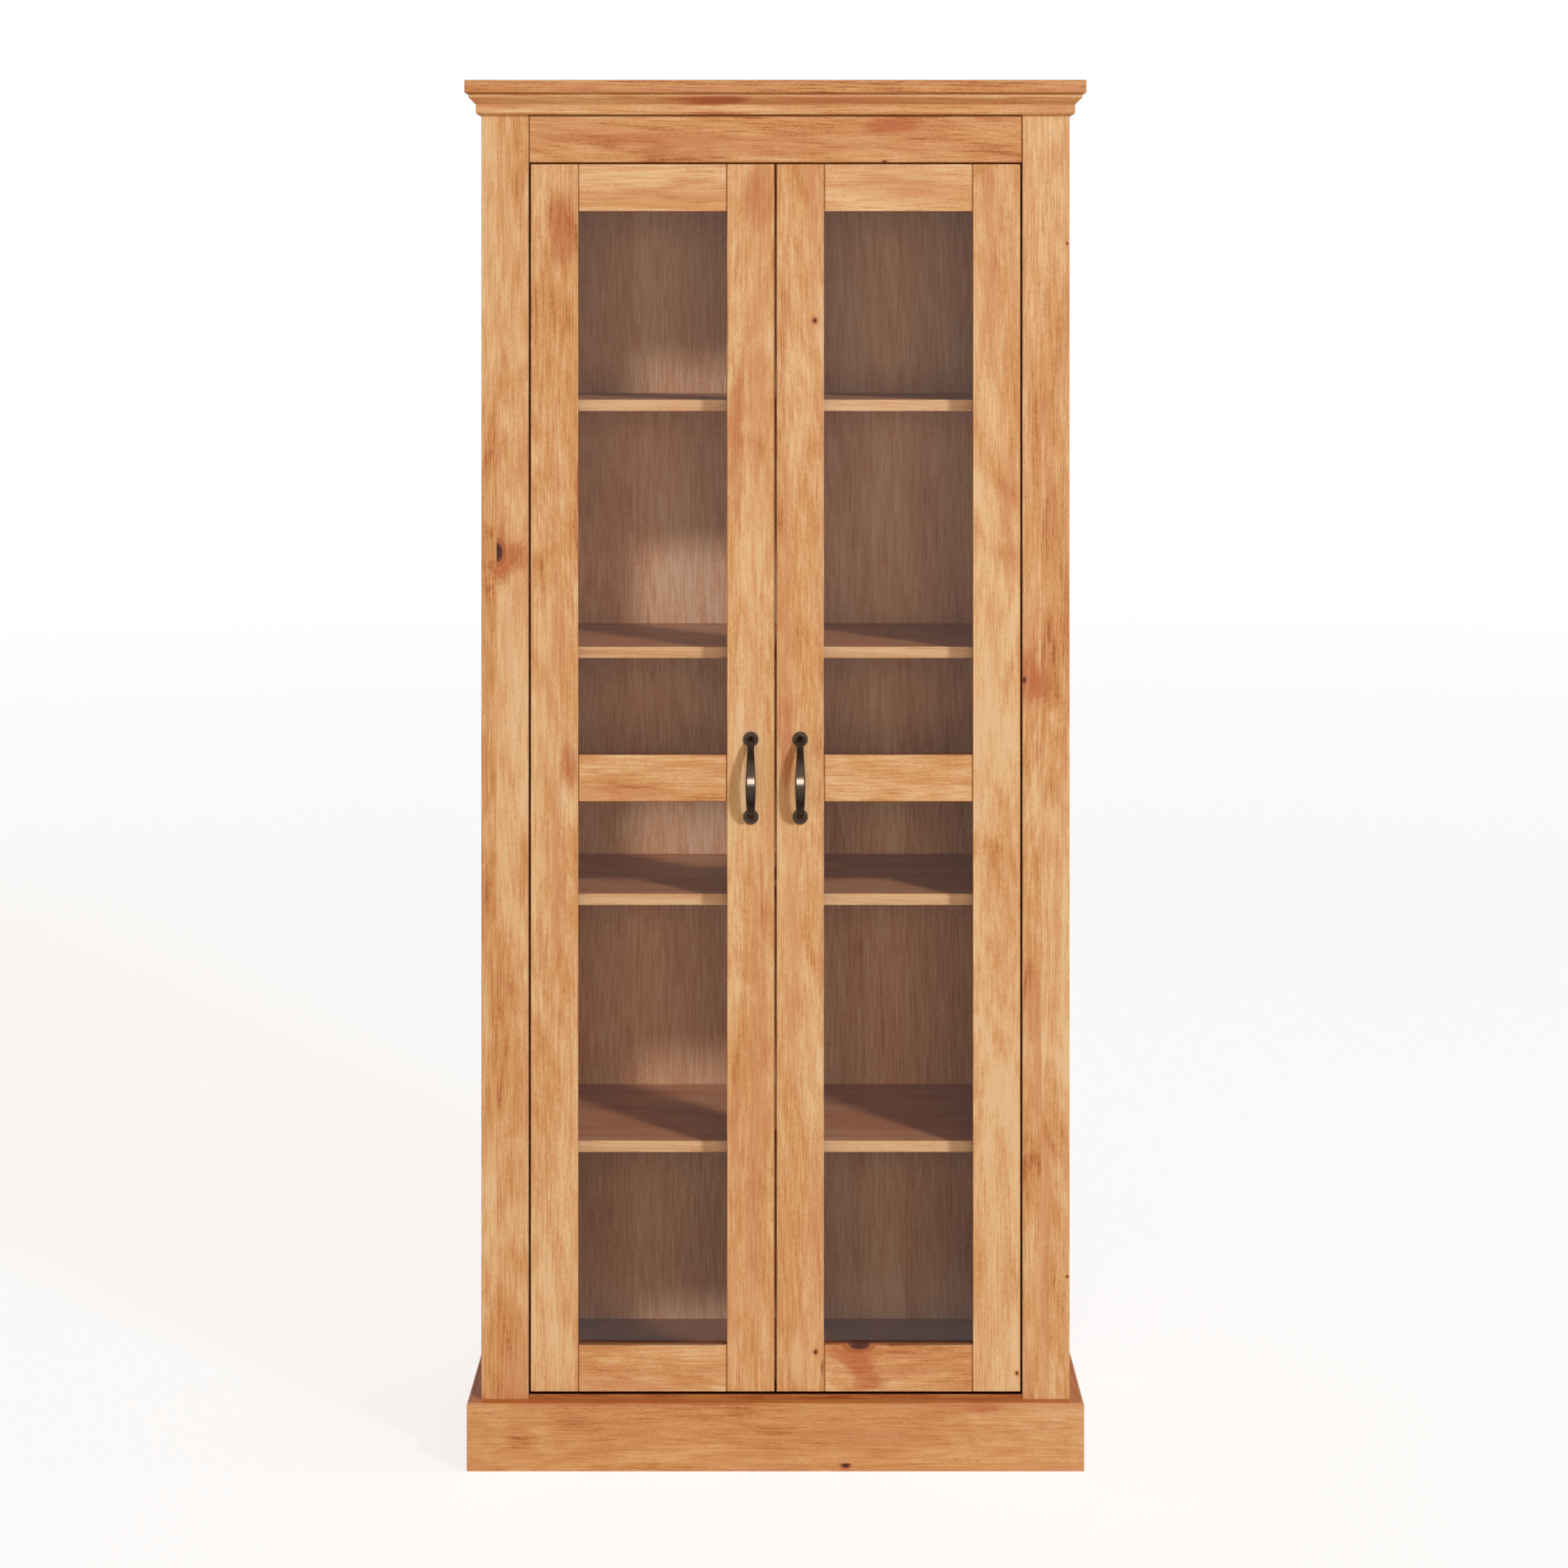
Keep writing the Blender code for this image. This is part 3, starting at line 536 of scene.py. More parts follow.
def knot_side(graph, point, knot):
    """1 on the side of a glue line on which a cut knot shows, and 1 everywhere for a whole knot."""
    across = graph.separate(point)[1]
    if "beyond" in knot:
        return graph.math("GREATER_THAN", across, knot["beyond"])
    if "short_of" in knot:
        return graph.math("LESS_THAN", across, knot["short_of"])
    return 1.0


def add_knot(graph, point, colour, knot):
    """A dark knot with rings of its own and a red halo round it."""
    only = knot_side(graph, point, knot)
    for share, softness, ragged, depth, layer_colour in KNOT_LAYERS:
        size = [length * share for length in knot["size"]]
        mask = spot(graph, point, knot["at"], size, softness, ragged)
        colour = graph.mix(graph.times(mask, depth, only), colour, layer_colour)
    return colour


STAIN_SOFTNESS = 0.6
STAIN_RAGGEDNESS = 0.6


def add_stain(graph, point, colour, stain, tone):
    """A red patch whose edge runs out along the streaks."""
    softness = stain.get("softness", STAIN_SOFTNESS)
    mask = spot(graph, point, stain["at"], stain["size"], softness, STAIN_RAGGEDNESS)
    mask = graph.times(mask, graph.spread(tone, 0.25, 0.65, 0.55, 1.0), stain.get("depth", 1.0))
    return graph.mix(mask, colour, stain.get("colour", RED_WOOD))


# Finish that gathers at joints, and lines of painted shade along gaps: each one's reach in metres and its
# depth
END_REACH = 0.0026
END_DEPTH = 0.9
GAP_SHADE_REACH = 0.0009
GAP_SHADE_DEPTH = 0.95
GAP_SHADE_SIDE_SHARE = 0.35
SEAM_CORE = 0.25
FACING = (0.5, 0.9)


def seam(at, reach, depth, **more):
    """A line across the face at one height or width, for a look's seams: gathered finish at joints and
    painted shade at gaps and overhangs.
    """
    return {"axis": 1, "at": at, "reach": reach, "depth": depth, **more}


def all_seams(look):
    """A look's own seams, those at a rail's ends, which meet the uprights, and those along a gap, which are
    painted shade.
    """
    ends = [seam(place, END_REACH, END_DEPTH, axis=0) for place in look["ends"]]
    edges = []
    # Lines along the gaps beside the doors are painted shade, weaker on the edge faces
    for place in look["edges"]:
        edges.append(seam(place, GAP_SHADE_REACH, GAP_SHADE_DEPTH, colour=SHADE_LINE_WOOD, side=GAP_SHADE_SIDE_SHARE))
    return [*look["seams"], *ends, *edges]


def add_seam(graph, point, colour, line):
    """Draws a seam: axis 0 is a place along the grain and 1 across it, and side its share on edge faces."""
    place = graph.separate(point)[line["axis"]]
    distance = graph.math("ABSOLUTE", graph.minus(place, line["at"]))
    mask = graph.spread(distance, SEAM_CORE * line["reach"], line["reach"], line["depth"], 0.0, smooth=True)
    if "side" in line:
        frontal = graph.math("ABSOLUTE", graph.facing(1))
        mask = graph.times(mask, graph.spread(frontal, *FACING, line["side"], 1.0))
    return graph.mix(mask, colour, line.get("colour", SEAM_WOOD))


# No painted shade: a board keeps its colour
NO_PAINTED_SHADE = (1.0, 1.0, 1.0)
PLAIN_LOOK = dict(
    grain="front upright", strips=(0.07, 0.0), rings=0.5, tone=0.0, contrast=1.0, fine=0.0, variety=1.0,
    blush=0.5, shade=NO_PAINTED_SHADE, painted_top_shade=NO_PAINTED_SHADE, knots=(), stains=(), seams=(), ends=(), edges=(),
)


def paint_shade_on_faces(graph, colour, shade, painted_top_shade):
    """Multiplies a board by its shade colour, mostly painted shade for boards in gaps, recesses and inside
    the cabinet, and its upper face by a colour of its own, painted shade on tops.
    """
    if shade != NO_PAINTED_SHADE:
        colour = graph.mix(1.0, colour, (*shade, 1.0), "MULTIPLY")
    if painted_top_shade != NO_PAINTED_SHADE:
        upward = graph.spread(graph.facing(2), *FACING)
        colour = graph.mix(upward, colour, graph.mix(1.0, colour, (*painted_top_shade, 1.0), "MULTIPLY"))
    return colour


def board_colour(graph, figure, chance, look):
    """The plain wood's colour: the figure's tone through the ramp, then its blush and its pores."""
    variety = STRIP_VARIETY * look["variety"]
    value = graph.math("MULTIPLY_ADD", figure["Tone"], look["contrast"], 0.5 - 0.5 * look["contrast"])
    value = graph.plus(value, graph.spread(chance, 0.0, 1.0, -variety, variety), look["tone"])
    value = graph.math("MULTIPLY_ADD", figure["Fine"], look["fine"], value)
    colour = graph.ramp(value, WOOD_STOPS)
    colour = graph.mix(graph.times(figure["Blush"], look["blush"]), colour, BLUSH_WOOD)
    return graph.mix(graph.times(figure["Pores"], PORE_DEPTH), colour, PORE_WOOD)


def make_pine(name, seed, **changes):
    """A lacquered pine board. Its look says the strips' width, its tone, its knots and its stains."""
    look = {**PLAIN_LOOK, **changes}
    material, graph, shader = new_material(name)
    parts = graph.separate(graph.place())
    point = graph.combine(*[parts[index] for index in GRAIN_AXES[look["grain"]]])
    chance, moved = board_strips(graph, point, seed, *look["strips"])
    figure = board_figure(graph, point, moved, chance, look)
    colour = board_colour(graph, figure, chance, look)
    for line in all_seams(look):
        colour = add_seam(graph, point, colour, line)
    for stain in look["stains"]:
        colour = add_stain(graph, point, colour, stain, figure["Tone"])
    for knot in look["knots"]:
        colour = add_knot(graph, point, colour, knot)
    inputs = {
        "Base Color": paint_shade_on_faces(graph, colour, look["shade"], look["painted_top_shade"]),
        "Roughness": graph.spread(figure["Tone"], 0.2, 0.9, *WOOD_ROUGHNESS),
        "Specular IOR Level": WOOD_GLOSS,
        "Normal": graph.output("ShaderNodeBump", {"Height": figure["Height"], **WOOD_BUMP}),
    }
    graph.feed(shader, inputs)
    return material


def oval(along, across, length, width, **more):
    """Where a knot or stain lies on its board, and half its length and width, all in metres."""
    return {"at": (along, across), "size": (length, width), **more}


def door_rail(label, level, start, **look):
    """A door rail's look: finish gathers at its ends and along its lower edge over a pane, and a line of
    painted shade runs along its upper edge under a pane.
    """
    low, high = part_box(f"door_{label}_{level}_rail")
    seams = []
    if level != "top":
        # A dark line of painted shade over the rail's top edge, where the pane's rebate lies in shade
        seams.append(seam(high.z, 0.0016, 0.8, colour=SHADE_LINE_WOOD))
    if level != "bottom":
        seams.append(seam(low.z, 0.0014, 0.6))
    ends = RAIL_ENDS if label == "right" else [-place for place in reversed(RAIL_ENDS)]
    return dict(grain="front level", strips=(0.2, start), ends=ends, seams=seams, **look)


# Glue lines that cut a knot, and looks that several boards share
STILE_GLUE_LINE = -0.3602
PLINTH_GLUE_LINE = 0.0104
CROWN_SIDE = dict(grain="side level", tone=0.2, strips=(0.2, 1.6))
PLINTH_STRIPS = (0.09, PLINTH_GLUE_LINE)
# The plinth sides' top faces are darkened by painted shade
PLINTH_SIDE = dict(grain="side level", tone=0.2, strips=PLINTH_STRIPS, painted_top_shade=(0.66, 0.38, 0.14))
SIDE_PANEL = dict(grain="side upright", contrast=0.75)
# Hinge posts are darkened by painted shade, for the shade in the gaps beside the doors
HINGE_POST_PAINTED_SHADE = dict(shade=(0.42, 0.30, 0.22))

# Each board's grain (front upright unless named), its tone (more is deeper and more orange), the width and
# start of its glued strips, its knots and its stains
BOARDS = {
    "crown_slab": dict(grain="flat level", tone=0.26, strips=(0.11, -0.02)),
    "crown_front": dict(
        grain="front level", tone=0.1, strips=(0.2, 1.6),
        stains=(
            oval(-0.074, 1.7645, 0.038, 0.0046, colour=STREAK_WOOD, softness=0.4),
            oval(-0.085, 1.7640, 0.046, 0.0055, depth=0.9),
            oval(-0.074, 1.7475, 0.046, 0.0024, softness=0.4),
            oval(0.050, 1.7630, 0.090, 0.0060, depth=0.45),
        ),
    ),
    "crown_left": CROWN_SIDE,
    "crown_right": CROWN_SIDE,
    "stile_left": dict(
        tone=0.01, strips=(0.09, STILE_GLUE_LINE), variety=0.4, edges=(-STILE_EDGE,),
        knots=(oval(1.181, STILE_GLUE_LINE, 0.0131, 0.0084, beyond=STILE_GLUE_LINE),),
        stains=(
            oval(1.176, -0.336, 0.018, 0.017),
            oval(1.155, -0.353, 0.015, 0.010),
            oval(1.205, -0.353, 0.018, 0.004, depth=0.8),
        ),
    ),
    "stile_right": dict(
        tone=-0.01, strips=(0.09, 0.3434), edges=(STILE_EDGE,),
        knots=(
            oval(1.016, 0.3214, 0.0040, 0.0022),
            oval(1.580, 0.3769, 0.0015, 0.0012),
            oval(0.2452, 0.3769, 0.0015, 0.0012),
        ),
        stains=(oval(1.022, 0.330, 0.034, 0.012), oval(1.010, 0.341, 0.018, 0.012, depth=0.7)),
    ),
    "header_rail": dict(
        grain="front level", tone=0.24, strips=(0.15, 1.63), ends=(-STILE_EDGE, STILE_EDGE),
        # The dark line under the crown moulding is painted shadow
        seams=(seam(CROWN_FOOT, 0.0024, 0.95, colour=SHADE_LINE_WOOD), seam(HEADER_FOOT, 0.0020, 0.6)),
        knots=(oval(0.141, 1.6858, 0.003, 0.0012),),
        stains=(
            oval(0.152, 1.7315, 0.036, 0.009, softness=0.5),
            oval(0.02, 1.697, 0.040, 0.005, depth=0.4),
            oval(-0.18, 1.716, 0.120, 0.005, depth=0.4),
        ),
    ),
    # The base rail is darkened by painted shade in the recess under the doors, and its top face, seen through
    # the gap under them, nearly black by painted shade
    "base_rail": dict(
        grain="front level", tone=0.35, strips=(0.2, -0.05), shade=(0.72, 0.58, 0.40),
        painted_top_shade=(0.10, 0.05, 0.04),
    ),
    "side_panel_left": dict(SIDE_PANEL, strips=(0.085, -0.2)),
    "side_panel_right": dict(SIDE_PANEL, strips=(0.085, -0.17)),
    # The plinth front's top face is darkened by painted shade
    "plinth_front": dict(
        grain="front level", tone=0.12, strips=PLINTH_STRIPS, contrast=0.72, painted_top_shade=(0.66, 0.42, 0.22),
        knots=(oval(0.0903, 0.0083, 0.0055, 0.0038, short_of=PLINTH_GLUE_LINE),),
        stains=(oval(0.266, 0.0813, 0.026, 0.006, depth=0.85),),
    ),
    "plinth_left": PLINTH_SIDE,
    "plinth_right": PLINTH_SIDE,
    "plinth_back": dict(grain="front level", shade=(0.85, 0.85, 0.85)),
    "hinge_post_left": HINGE_POST_PAINTED_SHADE,
    "hinge_post_right": HINGE_POST_PAINTED_SHADE,
    # The bottom board's top face is darkened by painted shade inside the cabinet
    "bottom_board": dict(grain="flat level", painted_top_shade=(0.30, 0.17, 0.14)),
    # The back panel's shade colour makes it darker and cooler: partly its own plainer face, partly painted
    # shade inside the cabinet
    "back_panel": dict(
        tone=0.05, strips=(0.19, -0.39), shade=(0.78, 0.82, 1.08), contrast=0.6,
        fine=0.7, variety=0.4, blush=0.2,
    ),
    "door_left_hinge_stile": dict(
        tone=-0.05, strips=(0.2, -0.4), rings=0.8, edges=(-DOOR_EDGE,),
        stains=(
            oval(1.267, -0.2553, 0.036, 0.0014, depth=0.9),
            oval(0.905, -0.266, 0.030, 0.010, depth=0.8),
            oval(1.600, -0.275, 0.045, 0.014, depth=0.5),
        ),
    ),
    "door_left_meeting_stile": dict(
        tone=0.01, strips=(0.2, -0.1), edges=(-MEETING_EDGE,),
        stains=(
            oval(1.340, -0.050, 0.110, 0.008, depth=0.55),
            oval(1.640, -0.020, 0.040, 0.016, depth=0.5),
        ),
    ),
    "door_left_top_rail": door_rail("left", "top", 1.6, tone=0.06),
    "door_left_middle_rail": door_rail("left", "middle", 0.8, tone=0.05),
    "door_left_bottom_rail": door_rail("left", "bottom", 0.0, tone=-0.03),
    "door_right_hinge_stile": dict(
        tone=-0.14, strips=(0.2, 0.2), rings=1.0, edges=(DOOR_EDGE,),
        knots=(oval(0.1204, 0.3119, 0.0020, 0.0016),),
    ),
    "door_right_meeting_stile": dict(
        tone=-0.035, strips=(0.2, -0.1), edges=(MEETING_EDGE,),
        knots=(oval(1.4803, 0.0508, 0.0030, 0.0022), oval(0.1477, 0.0519, 0.0026, 0.0020)),
        stains=(
            oval(0.1267, 0.0603, 0.010, 0.0014, colour=STREAK_WOOD),
            oval(0.140, 0.028, 0.032, 0.008, depth=0.7, colour=LIGHT_WOOD),
            # Beside the handle: partly a red stain, partly the handle's shadow painted in
            oval(0.935, 0.013, 0.060, 0.009, depth=0.8),
            oval(0.960, 0.004, 0.030, 0.003),
            oval(1.450, 0.010, 0.120, 0.004, depth=0.6),
        ),
    ),
    "door_right_top_rail": door_rail("right", "top", 1.6, tone=-0.1),
    "door_right_middle_rail": door_rail("right", "middle", 0.8, tone=0.14),
    "door_right_bottom_rail": door_rail(
        "right", "bottom", 0.0, tone=0.02,
        knots=(oval(0.1085, 0.1583, 0.0150, 0.0078),),
        stains=(
            oval(0.088, 0.149, 0.024, 0.009, depth=0.8),
            oval(0.101, 0.140, 0.022, 0.010, depth=0.8),
            oval(0.110, 0.130, 0.018, 0.012, depth=0.9),
            oval(0.117, 0.118, 0.018, 0.012, depth=0.9),
            oval(0.122, 0.106, 0.022, 0.010, depth=0.8),
        ),
    ),
}
SHELF_TONES = (-0.17, -0.02, -0.1, -0.13)
# Shelf tops are darkened and reddened by painted shade inside the cabinet
SHELF_LOOK = dict(
    grain="flat level", strips=(0.08, -0.1), contrast=0.8, shade=(1.0, 1.02, 1.12),
    painted_top_shade=(0.57, 0.41, 0.37),
)
SHELF_SEED = 50
CLEAT_LOOK = dict(grain="side level", strips=(0.3, -1.0))
CLEAT_SEED = 60


def dress(node, material):
    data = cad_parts[node].data
    data.materials.clear()
    data.materials.append(material)


def dress_boards():
    for seed, (node, look) in enumerate(BOARDS.items(), start=1):
        dress(node, make_pine(f"pine {node}", seed=seed, **look))
    for number, tone in enumerate(SHELF_TONES, start=1):
        shelf = f"shelf_{number}"
        dress(shelf, make_pine(f"pine {shelf}", SHELF_SEED + number, tone=tone, **SHELF_LOOK))
        for side in ("left", "right"):
            cleat = f"cleat_{number}_{side}"
            dress(cleat, make_pine(f"pine {cleat}", CLEAT_SEED + number, **CLEAT_LOOK))


# Glass
GLASS_IOR = 1.45
GLASS_TINTS = [(0.3, (0.95, 0.94, 0.93, 1.0)), (0.7, (0.97, 0.96, 0.95, 1.0))]
GLASS_LAMP_TINT = (0.97, 0.93, 0.88, 1.0)


def make_glass():
    """Clear float glass that lets lamps through, with a slight warm grey tint."""
    material, graph, shader = new_material("glass")
    tint = graph.ramp(graph.stretched(graph.place(), (6.0, 6.0, 6.0), detail=2.0), GLASS_TINTS)
    inputs = {"Base Color": tint, "Transmission Weight": 1.0, "IOR": GLASS_IOR, "Roughness": 0.0}
    graph.feed(shader, inputs)
    path = graph.node("ShaderNodeLightPath").outputs
    clear = graph.output("ShaderNodeBsdfTransparent", {"Color": GLASS_LAMP_TINT})
    parts = {0: path["Is Shadow Ray"], 1: shader.outputs[0], 2: clear}
    surface = graph.output("ShaderNodeMixShader", parts)
    graph.feed(material.node_tree.nodes["Material Output"], {"Surface": surface})
    return material


# Metals. The first numbers are distances in front of the face frame, in metres.
BRONZE_ROOT = (0.018, 0.006)
BRONZE_CREST = (0.0235, 0.0275)
FOOT_RIDGES = (0.0016, 0.0023)
PATINA = [(0.35, linear(54, 43, 36)), (0.65, linear(66, 53, 44))]
BLACK_BRONZE = linear(24, 17, 15)
BARE_BRONZE_AND_HIGHLIGHT = linear(112, 98, 86)
DARK_FOOT = linear(46, 36, 32)
WORN_FOOT = linear(128, 112, 100)
NICKEL = [(0.3, linear(176, 176, 174)), (0.7, linear(200, 199, 196))]


def make_bronze():
    """Dark antique bronze, brushed along the bow, black at its roots, and lighter bare bronze where it stands
    out most: partly wear, partly a painted highlight.
    """
    material, graph, shader = new_material("antique bronze")
    place = graph.place()
    brushed = graph.stretched(place, (2600.0, 900.0, 60.0), detail=2.0)
    dark = graph.ramp(graph.stretched(place, (70.0, 70.0, 70.0), detail=2.0), PATINA)
    y = graph.separate(place)[1]
    root = graph.spread(y, *[FACE_Y - reach for reach in BRONZE_ROOT], smooth=True)
    # Lighter bronze on the crest of the bow: partly rubbed wear, partly a painted highlight where the glint
    # falls
    rubbed = graph.spread(y, *[FACE_Y - reach for reach in BRONZE_CREST], smooth=True)
    rubbed = graph.times(rubbed, graph.spread(brushed, 0.35, 0.65, 0.55, 1.0))
    inputs = {
        "Base Color": graph.mix(rubbed, graph.mix(root, dark, BLACK_BRONZE), BARE_BRONZE_AND_HIGHLIGHT),
        "Roughness": graph.spread(brushed, 0.3, 0.7, 0.10, 0.15),
        "Metallic": 1.0,
        "Normal": graph.output("ShaderNodeBump", {"Height": brushed, "Strength": 0.08, "Distance": 0.0001}),
    }
    graph.feed(shader, inputs)
    return material


def make_rubbed_bronze():
    """The handles' feet: turned bronze, rubbed greyer on the ridges of its rings."""
    material, graph, shader = new_material("rubbed bronze")
    place = graph.place()
    ridge = graph.spread(graph.separate(place)[1], *[FACE_Y - reach for reach in FOOT_RIDGES], smooth=True)
    mottled = graph.stretched(place, (500.0, 500.0, 500.0), detail=2.0)
    worn = graph.times(ridge, graph.spread(mottled, 0.3, 0.6, 0.6, 1.0))
    roughness = graph.spread(mottled, 0.3, 0.7, 0.34, 0.48)
    colour = graph.mix(worn, DARK_FOOT, WORN_FOOT)
    graph.feed(shader, {"Base Color": colour, "Roughness": roughness, "Metallic": 1.0})
    return material


def make_steel():
    """Nickel-plated pressed steel."""
    material, graph, shader = new_material("nickel plate")
    grainy = graph.stretched(graph.place(), (900.0, 900.0, 900.0), detail=3.0)
    roughness = graph.spread(grainy, 0.3, 0.7, 0.22, 0.36)
    graph.feed(shader, {"Base Color": graph.ramp(grainy, NICKEL), "Roughness": roughness, "Metallic": 1.0})
    return material


def dress_the_rest(glass, bronze, steel):
    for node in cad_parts:
        if "glass" in node:
            dress(node, glass)
            # Light scattered inside leaves freely, or the lamps would count twice through a pane
            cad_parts[node].visible_diffuse = False
        elif "handle" in node:
            dress(node, bronze)
        elif "hinge_cup" in node or "hinge_arm" in node:
            dress(node, steel)


# Pieces of their own: each is made where it lies, and all but the hinge links ride on a body
SIDES = {"left": -1, "right": 1}
GAP = 0.0003
MERGE_DISTANCE = 0.000001
SMOOTH_ANGLE = math.radians(35)
FORWARD = Vector((0, -1, 0))
BACKWARD = Vector((0, 1, 0))
UPWARD = Vector((0, 0, 1))


def mesh_from(name, shape):
    """Turns a bmesh into a mesh whose doubled points are merged and whose faces look outward."""
    bmesh.ops.remove_doubles(shape, verts=shape.verts, dist=MERGE_DISTANCE)
    bmesh.ops.recalc_face_normals(shape, faces=shape.faces)
    mesh = bpy.data.meshes.new(name)
    shape.to_mesh(mesh)
    shape.free()
    return mesh


def finish_piece(name, shape, materials, body):
    """Turns a bmesh into a piece with smooth round faces, which rides on a body if one is named."""
    mesh = mesh_from(name, shape)
    mesh.shade_smooth()
    mesh.set_sharp_from_angle(angle=SMOOTH_ANGLE)
    for material in materials:
        mesh.materials.append(material)
    piece = add_object(name, mesh)
    if body:
        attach(piece, body)
    return piece


def facing_turn(axis):
    """The turn that takes upward to an axis."""
    return UPWARD.rotation_difference(axis).to_matrix().to_4x4()


def add_turned(shape, profile, place, axis, sides):
    """Adds a turned solid: the profile's points are (radius, height), from the axis round to the axis."""
    where = Matrix.Translation(place) @ facing_turn(axis)
    made = [shape.verts.new(where @ Vector((radius, 0, height))) for radius, height in profile]
    edges = [shape.edges.new(pair) for pair in zip(made, made[1:])]
    turn = {"cent": place, "axis": axis, "angle": 2 * math.pi, "steps": sides, "use_merge": True}
    bmesh.ops.spin(shape, geom=made + edges, **turn)


def join_rings(shape, rings):
    """Adds the skin over a row of rings of points, and closes both ends."""
    for first, second in zip(rings, rings[1:]):
        for number in range(len(first)):
            after = (number + 1) % len(first)
            shape.faces.new((first[number], first[after], second[after], second[number]))
    shape.faces.new(reversed(rings[0]))
    shape.faces.new(rings[-1])


# Handles: a bow on two ringed feet
HANDLE_SPACING = 0.100
BOW_WIDTH = 0.0132
BOW_THICKNESS = 0.005
BOW_FOOT_DIAMETER = 0.0088
BOW_BULGE_DROP = 0.007
BOW_SQUARENESS = 0.72
BOW_STATIONS = 64
BOW_SIDES = 36
FOOT_DIAMETER = 0.0198
FOOT_THICKNESS = 0.0022
FOOT_CLEARANCE = 0.0004
FOOT_RIM = 0.0012
FOOT_RIM_DROP = 0.6
FOOT_RIM_STEPS = 8
FOOT_RINGS = 3
FOOT_RING_DEPTH = 0.00045
FOOT_RING_STEPS = 40
FOOT_SIDES = 72


def bow_ring(turn, reach):
    """One section of the bow: its middle, half its width, half its thickness and its outward side."""
    lift = math.sin(turn)
    root = FOOT_THICKNESS / 2
    middle = Vector((0, -root - (reach - root) * lift, HANDLE_SPACING / 2 * math.cos(turn)))
    along = Vector((0, -(reach - root) * math.cos(turn), -HANDLE_SPACING / 2 * lift)).normalized()
    swell = max(0, 1 - ((middle.z + BOW_BULGE_DROP) / (HANDLE_SPACING / 2)) ** 2) ** 2
    half_width = (BOW_FOOT_DIAMETER + (BOW_WIDTH - BOW_FOOT_DIAMETER) * swell) / 2
    half_thickness = (BOW_FOOT_DIAMETER + (BOW_THICKNESS - BOW_FOOT_DIAMETER) * lift) / 2
    return middle, half_width, half_thickness, Vector((1, 0, 0)).cross(along)


def add_bow(shape, place, reach):
    rings = []
    for station in range(BOW_STATIONS + 1):
        turn = math.pi * station / BOW_STATIONS
        middle, half_width, half_thickness, outward = bow_ring(turn, reach)
        squareness = 1 - BOW_SQUARENESS * math.sin(turn)
        ring = []
        for number in range(BOW_SIDES):
            angle = 2 * math.pi * number / BOW_SIDES
            wide = math.copysign(abs(math.cos(angle)) ** squareness, math.cos(angle))
            thick = math.copysign(abs(math.sin(angle)) ** squareness, math.sin(angle))
            offset = Vector((half_width * wide, 0, 0)) + outward * half_thickness * thick
            ring.append(shape.verts.new(place + middle + offset))
        rings.append(ring)
    join_rings(shape, rings)


def foot_profile():
    """A foot's half section: a flat middle under the bow, fine turned rings and a rounded rim."""
    radius = FOOT_DIAMETER / 2
    inner = BOW_FOOT_DIAMETER / 2 + FOOT_CLEARANCE
    outer = radius - FOOT_RIM
    valley = FOOT_THICKNESS - FOOT_RING_DEPTH
    points = [(0, valley), (inner, valley)]
    for step in range(FOOT_RING_STEPS + 1):
        share = step / FOOT_RING_STEPS
        dip = 0.5 + 0.5 * math.cos(2 * math.pi * FOOT_RINGS * share)
        points.append((inner + (outer - inner) * share, FOOT_THICKNESS - FOOT_RING_DEPTH * dip))
    for step in range(1, FOOT_RIM_STEPS + 1):
        turn = math.pi / 2 * step / FOOT_RIM_STEPS
        drop = valley * FOOT_RIM_DROP * (1 - math.cos(turn))
        points.append((outer + FOOT_RIM * math.sin(turn), valley - drop))
    points.extend([(radius, 0), (0, 0)])
    return points


def make_handle(label, materials):
    """A handle that takes the place of its plainer solid, foot for foot."""
    node = f"door_{label}_handle"
    low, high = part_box(node)
    middle = (low + high) / 2
    place = Vector((middle.x, FACE_Y, middle.z))
    shape = bmesh.new()
    add_bow(shape, place, FACE_Y - low.y - BOW_THICKNESS / 2)
    bow_faces = set(shape.faces)
    for way in (1, -1):
        foot = place + Vector((0, -GAP, way * HANDLE_SPACING / 2))
        add_turned(shape, foot_profile(), foot, FORWARD, FOOT_SIDES)
    for face in shape.faces:
        face.material_index = 0 if face in bow_faces else 1
    piece = finish_piece(f"handle_{label}", shape, materials, f"door_{label}")
    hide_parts(node)
    return piece


# Glazing beads: a mitred frame that holds each pane in its pocket from behind
BEAD_WIDTH = 0.0055
BEAD_ROUND = 0.0035
BEAD_SINK = 0.0008
BEAD_ARC_STEPS = 6
# The beads are darkened by painted shade, for the shade in the pane's rebate
BEAD_PAINTED_SHADE = (0.52, 0.36, 0.26)
BEAD_LOOKS = {
    "level": dict(grain="front level", seed=81, strips=(0.3, -1.0), shade=BEAD_PAINTED_SHADE),
    "upright": dict(seed=82, strips=(0.6, -1.0), shade=BEAD_PAINTED_SHADE),
}


def bead_profile(depth):
    """The bead's section: (distance in from the pocket's wall, distance back from the pane)."""
    points = [(0, 0), (BEAD_WIDTH, 0)]
    for step in range(BEAD_ARC_STEPS + 1):
        turn = math.pi / 2 * step / BEAD_ARC_STEPS
        across = BEAD_WIDTH - BEAD_ROUND * (1 - math.cos(turn))
        points.append((across, depth - BEAD_ROUND * (1 - math.sin(turn))))
    points.append((0, depth))
    return points


